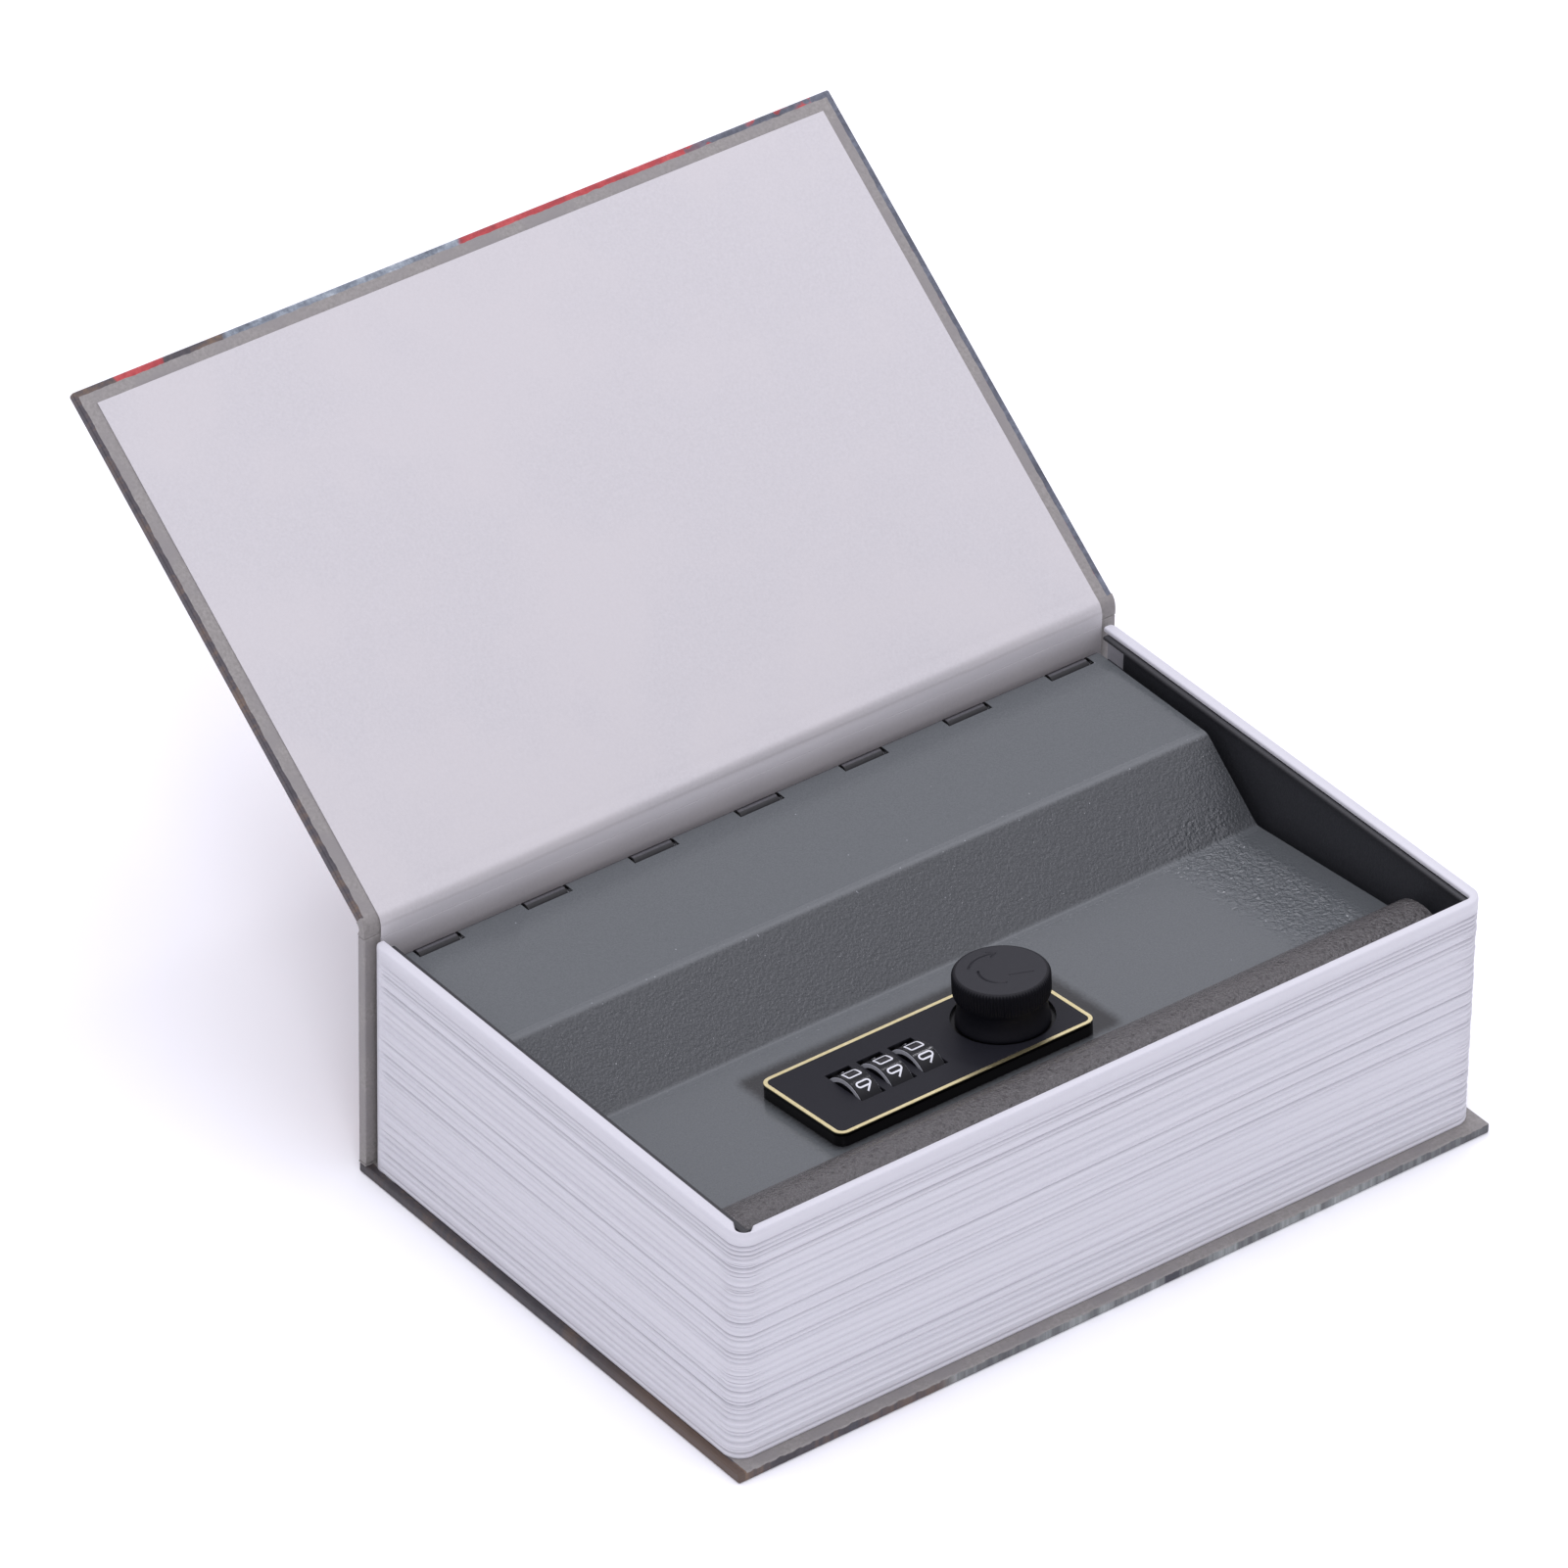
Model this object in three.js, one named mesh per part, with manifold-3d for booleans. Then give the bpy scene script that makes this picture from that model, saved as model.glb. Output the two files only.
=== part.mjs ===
// Hollow book safe: a wrapped book case, a moulded frame of false page edges, a folded steel tray
// and a hinged steel lid with a three-wheel code lock. Millimetres, +Z up, X along the spine,
// fore-edge towards -Y. The origin is the centre of the back board's underside.
import * as THREE from 'three';
import { mergeVertices } from 'three/addons/utils/BufferGeometryUtils.js';
import Module from 'manifold-3d';

const wasm = await Module();
wasm.setup();

// Book case
const bookLength = 180;
const bookDepth = 118.3;
const boardThickness = 2.2;
const spineThickness = 2.15;
const jointPaper = 0.4;
const spineTopDrop = 1.6;
const coverThickness = 2.2;
const coverWidth = 114.8;
const coverJointGap = 1.4;
const coverGap = 0.2;
const coverAngle = 143.1;
const endpaperThickness = 0.2;
const endpaperInset = 3.7;
const liningThickness = 0.4;

// Moulded frame of false page edges
const pageHeight = 52.2;
const pageFrontSquare = 2.85;
const pageEndSquare = 1.4;
const pageBackGap = 0.8;
const pageWall = 1.3;
const pageCornerRadius = 4;
const pageRimRadius = 0.5;

// Steel tray
const traySheet = 0.8;
const trayPadThickness = 0.4;
const trayPadInset = 7;
const trayFit = 0.1;
const trayRimDrop = 1.2;
const trayBackInset = 0.4;
const trayCornerRadius = 1.6;
const rimEndSetback = 5.4;
const rimEndRadius = 2;

// Hinge of the lid
const ringRadius = 1.6;
const rodRadius = 0.8;
const rodClearance = 0.2;
const rodInset = 1.9;
const hingeDrop = 4.4;
const knuckleCount = 7;
const hingeEndMargin = 2.7;
const knuckleWidth = 9.4;
const knuckleGap = 0.6;
const knuckleTopGap = 0.3;

// Lid
const lidSheet = 0.9;
const lidSideGap = 2.8;
const lowerDepth = 59.1;
const slopeRun = 15.8;
const slopeDrop = 12.7;
const lowerTilt = 5.5;
const slopeTopRadius = 2.5;
const slopeFootRadius = 2;
const beadRadius = 9.1;
const beadSetback = 10.5;
const beadCrestDrop = 3.05;
const beadFootRadius = 1.8;
const flangeGap = 2.4;
const flangeHeight = 2.4;

// Lock face plate, placed from the foot of the lid's slope
const plateX = -16.2;
const plateSetback = 25.3;
const plateLength = 60.8;
const plateWidth = 24.8;
const plateTop = 3;
const plateCornerRadius = 2.2;
const plateSkin = 1;
const trimWidth = 0.8;
const trimDepth = 0.8;
const seatGap = 0.1;
const trimGap = 0.05;

// Number wheels and what is inside them
const wheelCount = 3;
const wheelPitch = 7.35;
const firstWheelInset = 13.15;
const wheelRadius = 6.8;
const wheelWidth = 5;
const wheelRise = 1.7;
const wheelEdge = 0.2;
const windowGap = 0.3;
const sleeveRadius = 2.7;
const sleeveGap = 0.2;
const axleRadius = 1.2;
const gateDiscWidth = 1.3;
const gateDiscGap = 0.3;
const detentCount = 10;
const detentDepth = 0.3;
const gateWidth = 1.4;
const gateDepth = 0.8;

// Knob, spindle and cam
const knobInset = 12.7;
const knobRadius = 9.4;
const knobTop = 13.2;
const knurlHeight = 4.4;
const knurlDepth = 0.3;
const knurlCount = 48;
const knobWaistRadius = 8.6;
const knobFootRadius = 9.1;
const knobFootRise = 2.6;
const knobWaistDrop = 1.5;
const knobEdge = 0.3;
const recessRadius = 10;
const recessDepth = 0.8;
const spindleRadius = 4;
const spindleGap = 0.2;
const spindleTopCover = 4.2;
const spindleSquare = 5;
const camReach = 30;
const camWidth = 12;
const camTipWidth = 9;
const camTipCorner = 2.2;
const camThickness = 1;
const camGap = 0.5;
const camScrewHeadRadius = 3.7;
const camScrewHeadHeight = 1.4;
const camScrewRadius = 1.3;
const camScrewLength = 7;
const washerRadius = 6.3;

// Lock case under the lid
const caseMargin = 0.4;
const caseSideMargin = 0.9;
const caseFloor = 1;
const cutMargin = 2.1;
const cutWidth = 19;
const cutGap = 0.3;
const bayWidth = 14.6;
const bayEndGap = 1.3;
const axleSlotDepth = 2.5;
const fenceThickness = 1;
const fenceWidth = 3.2;
const fenceTravel = 0.8;
const fenceGap = 0.5;
const toothWidth = 1;
const toothGap = 0.3;
const fenceSpringSetback = 8.7;
const fenceSpringLength = 4.6;
const fenceWire = 0.25;
const springTurns = 4;
const detentLeaf = 0.2;
const caseScrewInset = 4.9;
const caseScrewRadius = 1.4;
const caseScrewHeadRadius = 2.6;
const caseScrewHeadHeight = 1.6;
const caseScrewBite = 1.4;
const buttonInset = 4.9;
const buttonV = -6.8;
const buttonRadius = 1.8;
const buttonRise = 1.5;
const buttonFlange = 0.7;
const buttonFlangeThickness = 0.8;
const buttonSpringLength = 4.7;
const buttonWire = 0.3;

// Strike inside the tray's front wall
const strikeSheet = 1.4;
const strikeWidth = 15;
const strikeDepth = 7.6;
const strikeHeight = 7.5;
const strikeClearance = 0.85;
const strikeBendRadius = 1.8;

// Facets of round shapes, how far a cutting tool runs past the face that it opens, and how close
// two points are taken for one
const tinySides = 16;
const smallSides = 20;
const mediumSides = 24;
const largeSides = 32;
const turnedSides = 40;
const recessSides = 48;
const curveSteps = 6;
const bendSteps = 5;
const beadSteps = 8;
const detentSteps = 4;
const coilSides = 5;
const coilSteps = 8;
const past = 1;
const samePlace = 1e-5;

// Places worked out from the sizes, in the root frame
const rad = THREE.MathUtils.degToRad;
const halfLength = bookLength / 2;
const frontY = -bookDepth / 2;
const backY = bookDepth / 2;
const spineInnerY = backY - spineThickness;
const liningY = spineInnerY - liningThickness;
const pageTop = boardThickness + pageHeight;
const coverAxisY = backY - spineThickness / 2;
const coverAxisZ = pageTop + coverGap + coverThickness;
const spineTop = coverAxisZ - spineTopDrop;
const pageHalf = halfLength - pageEndSquare;
const pageFront = frontY + pageFrontSquare;
const pageBack = liningY - pageBackGap;
const trayHalf = pageHalf - pageWall - trayFit;
const trayFront = pageFront + pageWall + trayFit;
const trayBack = pageBack - trayBackInset;
const trayFoot = boardThickness + trayPadThickness;
const trayRim = pageTop - trayRimDrop;
const trayInnerHalf = trayHalf - traySheet;
const trayInnerFront = trayFront + traySheet;
const hingeY = trayBack - ringRadius;
const hingeZ = trayRim - hingeDrop;
const rearWallTop = hingeZ - ringRadius - knuckleTopGap;
const boreRadius = rodRadius + rodClearance;
const lidHalf = trayInnerHalf - lidSideGap;
const lidTop = hingeZ + ringRadius;
const slotWidth = knuckleWidth + 2 * knuckleGap;
const knuckleSpan = 2 * (lidHalf - hingeEndMargin) - slotWidth;
const knucklePitch = knuckleSpan / (knuckleCount - 1);
const slopeFootY = trayInnerFront + lowerDepth;
const slopeTopY = slopeFootY + slopeRun;
const slopeFootZ = lidTop - slopeDrop;
const tilt = rad(lowerTilt);
const plateY = slopeFootY - plateSetback * Math.cos(tilt);
const plateZ = slopeFootZ + plateSetback * Math.sin(tilt);

// Places in the lock's own frame: u along X, v to the rear along the lid, h off the lid's face
const firstWheelU = firstWheelInset - plateLength / 2;
const knobU = plateLength / 2 - knobInset;
const fenceSpringU = knobU - fenceSpringSetback;
const caseScrewU = plateLength / 2 - caseScrewInset;
const buttonU = buttonInset - plateLength / 2;
const axleH = plateTop + wheelRise - wheelRadius;
const sleeveBore = axleRadius + sleeveGap;
const wheelBore = sleeveRadius + sleeveGap;
const lastWheelU = firstWheelU + (wheelCount - 1) * wheelPitch;
const skinFoot = plateTop - plateSkin;
const gateDiscRadius = skinFoot - axleH - windowGap;
const gateStart = wheelWidth / 2 + gateDiscGap;
const gateEnd = gateStart + gateDiscWidth;
const bayStart = firstWheelU - wheelWidth / 2 - bayEndGap;
const bayEnd = lastWheelU + gateEnd + bayEndGap;
const fenceTop = axleH - wheelRadius - fenceGap;
const fenceFoot = fenceTop - fenceThickness;
const bayFloor = fenceFoot - fenceTravel - sleeveGap;
const caseBottom = bayFloor - caseFloor;
const caseTop = -lidSheet - 2 * seatGap;
const fenceEnd = fenceSpringU + fenceWidth;
const camTop = caseBottom - camGap;
const camFoot = camTop - camThickness;
const spindleTop = knobTop - spindleTopCover - seatGap;
const spindleHole = spindleRadius + spindleGap;
const recessFloor = plateTop - recessDepth;

// Shapes

// A closed geometry as a solid: vertices shared, and triangles of no area left out
function solid(geometry) {
  const bare = geometry.clone();
  bare.deleteAttribute('normal');
  bare.deleteAttribute('uv');
  const merged = mergeVertices(bare, samePlace);
  const index = merged.index.array;
  const triangles = [];
  for (let i = 0; i < index.length; i += 3) {
    const [a, b, c] = [index[i], index[i + 1], index[i + 2]];
    if (a !== b && b !== c && c !== a) triangles.push(a, b, c);
  }
  const vertProperties = new Float32Array(merged.attributes.position.array);
  const triVerts = new Uint32Array(triangles);
  return new wasm.Manifold(new wasm.Mesh({ numProp: 3, vertProperties, triVerts }));
}

function box([x0, x1], [y0, y1], [z0, z1]) {
  const geometry = new THREE.BoxGeometry(x1 - x0, y1 - y0, z1 - z0);
  return geometry.translate((x0 + x1) / 2, (y0 + y1) / 2, (z0 + z1) / 2);
}

// Round bar along X through (y, z), or along Z through (x, y)
function barX(radius, [y, z], [x0, x1], sides = mediumSides) {
  const geometry = new THREE.CylinderGeometry(radius, radius, x1 - x0, sides);
  return geometry.rotateZ(-Math.PI / 2).translate((x0 + x1) / 2, y, z);
}

function barZ(radius, [x, y], [z0, z1], sides = largeSides) {
  const geometry = new THREE.CylinderGeometry(radius, radius, z1 - z0, sides);
  return geometry.rotateX(Math.PI / 2).translate(x, y, (z0 + z1) / 2);
}

// Outline pushed along Z, or a (y, z) outline pushed along X
function prismZ(outline, [z0, z1]) {
  const options = { depth: z1 - z0, bevelEnabled: false, curveSegments: curveSteps };
  return new THREE.ExtrudeGeometry(outline, options).translate(0, 0, z0);
}

function prismX(outline, [x0, x1]) {
  const options = { depth: x1 - x0, bevelEnabled: false, curveSegments: curveSteps };
  const turn = new THREE.Matrix4().makeBasis(
    new THREE.Vector3(0, 1, 0),
    new THREE.Vector3(0, 0, 1),
    new THREE.Vector3(1, 0, 0),
  );
  return new THREE.ExtrudeGeometry(outline, options).applyMatrix4(turn).translate(x0, 0, 0);
}

// Rectangle with its own corner radius for the two front and the two rear corners
function rectangle([x0, x1], [y0, y1], front, rear = front) {
  const shape = new THREE.Shape();
  const quarter = Math.PI / 2;
  const corners = [
    [x1, y0, -1, 1, front, -quarter],
    [x1, y1, -1, -1, rear, 0],
    [x0, y1, 1, -1, rear, quarter],
    [x0, y0, 1, 1, front, 2 * quarter],
  ];
  shape.moveTo(x0 + front, y0);
  for (const [x, y, inX, inY, radius, start] of corners) {
    if (radius > 0) {
      shape.absarc(x + inX * radius, y + inY * radius, radius, start, start + quarter, false);
    } else {
      shape.lineTo(x, y);
    }
  }
  return shape;
}

// Line of corners [y, z, radius], each rounded to its radius
function roundedLine(corners) {
  const points = [];
  corners.forEach(([y, z, radius], i) => {
    const corner = new THREE.Vector2(y, z);
    if (!radius) {
      points.push(corner);
      return;
    }
    const before = new THREE.Vector2(...corners[i - 1]).sub(corner).normalize();
    const after = new THREE.Vector2(...corners[i + 1]).sub(corner).normalize();
    const half = Math.acos(before.dot(after)) / 2;
    const middle = before.clone().add(after).normalize();
    const centre = corner.clone().addScaledVector(middle, radius / Math.sin(half));
    const start = corner.clone().addScaledVector(before, radius / Math.tan(half)).sub(centre);
    const end = corner.clone().addScaledVector(after, radius / Math.tan(half)).sub(centre);
    const turn = Math.atan2(start.cross(end), start.dot(end));
    for (let step = 0; step <= bendSteps; step += 1) {
      points.push(start.clone().rotateAround(new THREE.Vector2(), turn * step / bendSteps).add(centre));
    }
  });
  return points;
}

// Outline of a bent sheet: a line, and the same line moved to its left by the sheet's thickness
function sheetOutline(line, thickness) {
  const left = line.map((point, i) => {
    const coming = i > 0 ? point.clone().sub(line[i - 1]).normalize() : null;
    const going = i < line.length - 1 ? line[i + 1].clone().sub(point).normalize() : null;
    const a = coming ?? going;
    const b = going ?? coming;
    const normal = new THREE.Vector2(-a.y - b.y, a.x + b.x).normalize();
    const reach = thickness / (normal.x * -a.y + normal.y * a.x);
    return point.clone().addScaledVector(normal, reach);
  });
  return new THREE.Shape([...line, ...left.reverse()]);
}

// Body turned about Z at (x, y) from a closed profile of [radius, height]
function turned(profile, [x, y] = [0, 0], sides = turnedSides) {
  const points = profile.map(([radius, height]) => new THREE.Vector2(radius, height));
  return new THREE.LatheGeometry(points, sides).rotateX(Math.PI / 2).translate(x, y, 0);
}

// Coil spring with its axis along Z, its ends closed by flat faces
function coil([x, y], [z0, z1], radius, wire) {
  const steps = springTurns * coilSteps;
  const rise = z1 - z0 - 2 * wire;
  const points = [];
  for (let i = 0; i <= steps; i += 1) {
    const angle = 2 * Math.PI * i / coilSteps;
    const height = z0 + wire + rise * i / steps;
    points.push(new THREE.Vector3(x + radius * Math.cos(angle), y + radius * Math.sin(angle), height));
  }
  const section = new THREE.Shape();
  for (let i = 0; i < coilSides; i += 1) {
    const angle = 2 * Math.PI * i / coilSides;
    section[i ? 'lineTo' : 'moveTo'](wire * Math.cos(angle), wire * Math.sin(angle));
  }
  const path = new THREE.CatmullRomCurve3(points);
  return new THREE.ExtrudeGeometry(section, { steps, bevelEnabled: false, extrudePath: path });
}

function join(first, ...others) {
  return others.reduce((whole, each) => whole.add(solid(each)), solid(first));
}

function cut(body, ...tools) {
  return tools.reduce((rest, each) => rest.subtract(solid(each)), body);
}

// Looks
const look = (color, roughness, metalness = 0) => ({ color, roughness, metalness, flatShading: true });
const coverPaper = look(0x5b5a60, 0.65);
const turnIn = look(0x989392, 0.7);
const endpaper = look(0xd0cdd7, 0.75);
const pagePlastic = look(0xd6d5de, 0.45);
const foam = look(0x3a3a3c, 0.9);
const darkSteel = look(0x303135, 0.5, 0.7);
const hammeredCoat = look(0x71757c, 0.45, 0.6);
const zinc = look(0xb4b6ba, 0.35, 0.9);
const blackPlastic = look(0x26262a, 0.4);
const gold = look(0xe1c878, 0.3, 0.9);
const glossBlack = look(0x141416, 0.2);
const springSteel = look(0x8f9296, 0.3, 0.9);
const knobBlack = look(0x1c1c20, 0.35);

// Root of the scene, and the frames that are turned
const book = new THREE.Group();
const cover = new THREE.Group();
cover.position.set(0, coverAxisY, coverAxisZ);
cover.rotation.x = -rad(coverAngle);
const lock = new THREE.Group();
lock.position.set(plateX, plateY, plateZ);
lock.rotation.x = -tilt;
lock.updateMatrix();
book.add(cover, lock);

function piece(parent, name, body, appearance) {
  const made = body.isBufferGeometry ? solid(body) : body;
  const { vertProperties, triVerts } = made.getMesh();
  const geometry = new THREE.BufferGeometry();
  geometry.setAttribute('position', new THREE.BufferAttribute(vertProperties, 3));
  geometry.setIndex(new THREE.BufferAttribute(triVerts, 1));
  const mesh = new THREE.Mesh(geometry, new THREE.MeshStandardMaterial(appearance));
  mesh.name = name;
  parent.add(mesh);
}

// Book case
function bookCase() {
  const acrossX = [-halfLength, halfLength];
  const innerX = [-halfLength + endpaperInset, halfLength - endpaperInset];
  const spineY = [spineInnerY, backY];
  const spineFoot = boardThickness + jointPaper;
  piece(book, 'back_board', box(acrossX, [frontY, backY], [0, boardThickness]), coverPaper);
  piece(book, 'back_joint', box(acrossX, spineY, [boardThickness, spineFoot]), turnIn);
  piece(book, 'spine_board', box(acrossX, spineY, [spineFoot, spineTop]), turnIn);
  piece(book, 'spine_lining', box(innerX, [liningY, spineInnerY], [boardThickness, pageTop]), endpaper);
}

// Cover, drawn closed in its own frame: the hinge axis is its origin, its outer face at height 0
function coverBoard() {
  const acrossX = [-halfLength, halfLength];
  const innerX = [-halfLength + endpaperInset, halfLength - endpaperInset];
  const edgeY = -coverJointGap - coverWidth;
  const paperTop = -coverThickness + endpaperThickness;
  const board = box(acrossX, [edgeY, -coverJointGap], [paperTop + trimGap, 0]);
  const sheet = box(innerX, [edgeY + endpaperInset, -coverJointGap], [-coverThickness, paperTop]);
  piece(cover, 'front_board', board, coverPaper);
  piece(cover, 'front_endpaper', sheet, endpaper);
}

// Point of the open cover, from its place in the closed cover's frame, as (y, z) of the root frame
function onCover(y, z) {
  const turnedPoint = new THREE.Vector2(y, z).rotateAround(new THREE.Vector2(), -rad(coverAngle));
  return turnedPoint.add(new THREE.Vector2(coverAxisY, coverAxisZ));
}

// Flexible joint in the opened state: covering paper outside, endpaper over it inside
function coverJoint() {
  const edge = -coverJointGap + seatGap;
  const paperTop = -coverThickness + endpaperThickness;
  const wrap = new THREE.Shape([
    new THREE.Vector2(spineInnerY, spineTop + seatGap),
    new THREE.Vector2(backY, spineTop + seatGap),
    onCover(edge, 0),
    onCover(edge, paperTop + trimGap),
  ]);
  const fold = new THREE.Shape([
    new THREE.Vector2(liningY, pageTop + seatGap),
    new THREE.Vector2(spineInnerY - seatGap, pageTop + seatGap),
    new THREE.Vector2(spineInnerY - seatGap, spineTop),
    onCover(edge, paperTop - trimGap),
    onCover(edge, -coverThickness),
    new THREE.Vector2(liningY, spineTop),
  ]);
  const foldHalf = halfLength - endpaperInset;
  piece(book, 'front_joint', prismX(wrap, [-halfLength, halfLength]), turnIn);
  piece(book, 'endpaper_fold', prismX(fold, [-foldHalf, foldHalf]), endpaper);
}

// Three walls round the tray, open to the spine, with a rounded rim
function pageBlock() {
  const outline = rectangle([-pageHalf, pageHalf], [pageFront, pageBack], pageCornerRadius, 0);
  const innerHalf = pageHalf - pageWall;
  const innerFront = pageFront + pageWall;
  const innerRadius = trayCornerRadius;
  const hollow = rectangle([-innerHalf, innerHalf], [innerFront, backY], innerRadius, 0);
  const walls = cut(
    solid(prismZ(outline, [boardThickness, pageTop])),
    prismZ(hollow, [0, coverAxisZ]),
  );
  const bevel = {
    depth: pageHeight,
    bevelThickness: pageRimRadius,
    bevelSize: pageRimRadius,
    bevelOffset: -pageRimRadius,
    bevelSegments: 2,
    curveSegments: curveSteps,
  };
  const roundTop = new THREE.ExtrudeGeometry(outline, bevel);
  roundTop.translate(0, 0, pageTop - pageRimRadius - pageHeight);
  const deepBack = box([-halfLength, halfLength], [pageBack - pageCornerRadius, pageBack], [0, pageTop]);
  const rounded = solid(roundTop).add(solid(deepBack));
  piece(book, 'page_block', walls.intersect(rounded), pagePlastic);
}

function knuckleCentres() {
  const middle = (knuckleCount - 1) / 2;
  return Array.from({ length: knuckleCount }, (_, i) => (i - middle) * knucklePitch);
}

// Folded steel tray: side walls step down at the rear, knuckles stand on the rear wall
function tray() {
  const wallInner = trayBack - traySheet;
  const block = prismZ(
    rectangle([-trayHalf, trayHalf], [trayFront, trayBack], trayCornerRadius, 0),
    [trayFoot, trayRim],
  );
  const rimEndY = trayBack - rimEndSetback;
  const side = new THREE.Shape(roundedLine([
    [trayFront, trayFoot],
    [trayBack, trayFoot],
    [trayBack, rearWallTop],
    [rimEndY, rearWallTop],
    [rimEndY, trayRim, rimEndRadius],
    [trayFront, trayRim],
  ]));
  const innerOutline = rectangle(
    [-trayInnerHalf, trayInnerHalf],
    [trayInnerFront, wallInner],
    trayCornerRadius - traySheet,
    0,
  );
  const folded = solid(block).intersect(solid(prismX(side, [-trayHalf, trayHalf])));
  const walls = cut(folded, prismZ(innerOutline, [trayFoot + traySheet, coverAxisZ]));
  const knuckles = knuckleCentres().flatMap((x) => {
    const span = [x - knuckleWidth / 2, x + knuckleWidth / 2];
    const tabTop = [rearWallTop - traySheet, hingeZ];
    return [barX(ringRadius, [hingeY, hingeZ], span), box(span, [wallInner, trayBack], tabTop)];
  });
  const joined = knuckles.reduce((whole, each) => whole.add(solid(each)), walls);
  const bore = barX(boreRadius, [hingeY, hingeZ], [-trayHalf, trayHalf]);
  piece(book, 'tray', cut(joined, bore), darkSteel);
  const padX = [-trayHalf + trayPadInset, trayHalf - trayPadInset];
  const padY = [trayFront + trayPadInset, trayBack - trayPadInset];
  piece(book, 'tray_pad', box(padX, padY, [boardThickness, trayFoot]), foam);
  const rodHalf = trayInnerHalf - rodInset;
  piece(book, 'hinge_rod', barX(rodRadius, [hingeY, hingeZ], [-rodHalf, rodHalf], tinySides), zinc);
}

// Angle bracket in front of the latched cam's tip: the cam turns in under its level leg
function strike() {
  const camTipTop = plateZ + camReach * Math.sin(tilt) + camTop * Math.cos(tilt);
  const underside = camTipTop + strikeClearance;
  const line = roundedLine([
    [trayInnerFront + strikeDepth, underside],
    [trayInnerFront, underside, strikeBendRadius],
    [trayInnerFront, underside + strikeHeight],
  ]);
  const centre = plateX + knobU;
  const span = [centre - strikeWidth / 2, centre + strikeWidth / 2];
  const outline = sheetOutline(line.reverse(), strikeSheet);
  piece(book, 'strike', prismX(outline, span), zinc);
}

// Outer face of the lid as a line from the hinge to the front flange
function lidLine() {
  const along = new THREE.Vector2(-Math.cos(tilt), Math.sin(tilt));
  const off = new THREE.Vector2(Math.sin(tilt), Math.cos(tilt));
  const foot = new THREE.Vector2(slopeFootY, slopeFootZ);
  const beadCentre = new THREE.Vector2(trayInnerFront + beadSetback, lidTop - beadCrestDrop - beadRadius);
  const toBead = beadCentre.clone().sub(foot);
  const beadAlong = toBead.dot(along);
  const beadOff = toBead.dot(off);
  const reach = beadRadius + beadFootRadius;
  const filletAlong = beadAlong - Math.sqrt(reach ** 2 - (beadFootRadius - beadOff) ** 2);
  const filletCentre = foot.clone()
    .addScaledVector(along, filletAlong)
    .addScaledVector(off, beadFootRadius);
  const touch = filletCentre.clone().sub(beadCentre).angle();
  const flangeY = trayInnerFront + flangeGap;
  const flangeAngle = Math.acos((flangeY - beadCentre.x) / beadRadius);
  const bead = new THREE.Path();
  bead.absarc(filletCentre.x, filletCentre.y, beadFootRadius, 1.5 * Math.PI - tilt, touch + Math.PI, true);
  bead.absarc(beadCentre.x, beadCentre.y, beadRadius, touch, flangeAngle, false);
  const flangeTop = beadCentre.y + beadRadius * Math.sin(flangeAngle);
  const rear = roundedLine([
    [hingeY, lidTop],
    [slopeTopY, lidTop, slopeTopRadius],
    [slopeFootY, slopeFootZ, slopeFootRadius],
    [filletCentre.x, filletCentre.y - beadFootRadius],
  ]).slice(0, -1);
  const flangeFoot = new THREE.Vector2(flangeY, flangeTop - flangeHeight);
  const line = [...rear, ...bead.getPoints(beadSteps), flangeFoot];
  return line.filter((point, i) => i === 0 || point.distanceTo(line[i - 1]) > samePlace);
}

// Folded lid: slots let the tray's knuckles through, its own knuckles sit between them
function lid() {
  const span = [-lidHalf, lidHalf];
  const outline = sheetOutline(lidLine(), lidSheet);
  const slots = knuckleCentres().map((x) => box(
    [x - slotWidth / 2, x + slotWidth / 2],
    [hingeY - ringRadius - knuckleTopGap, backY],
    [rearWallTop, coverAxisZ],
  ));
  const cutHalf = plateLength / 2 - cutMargin;
  const opening = box([-cutHalf, cutHalf], [-cutWidth / 2, cutWidth / 2], [-2 * lidSheet, lidSheet]);
  const sheet = join(prismX(outline, span), barX(ringRadius, [hingeY, hingeZ], span));
  const bore = barX(boreRadius, [hingeY, hingeZ], [-trayHalf, trayHalf]);
  piece(book, 'lid', cut(sheet, bore, ...slots, opening.applyMatrix4(lock.matrix)), hammeredCoat);
}

function wheelCentres() {
  return Array.from({ length: wheelCount }, (_, i) => firstWheelU + i * wheelPitch);
}

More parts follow.
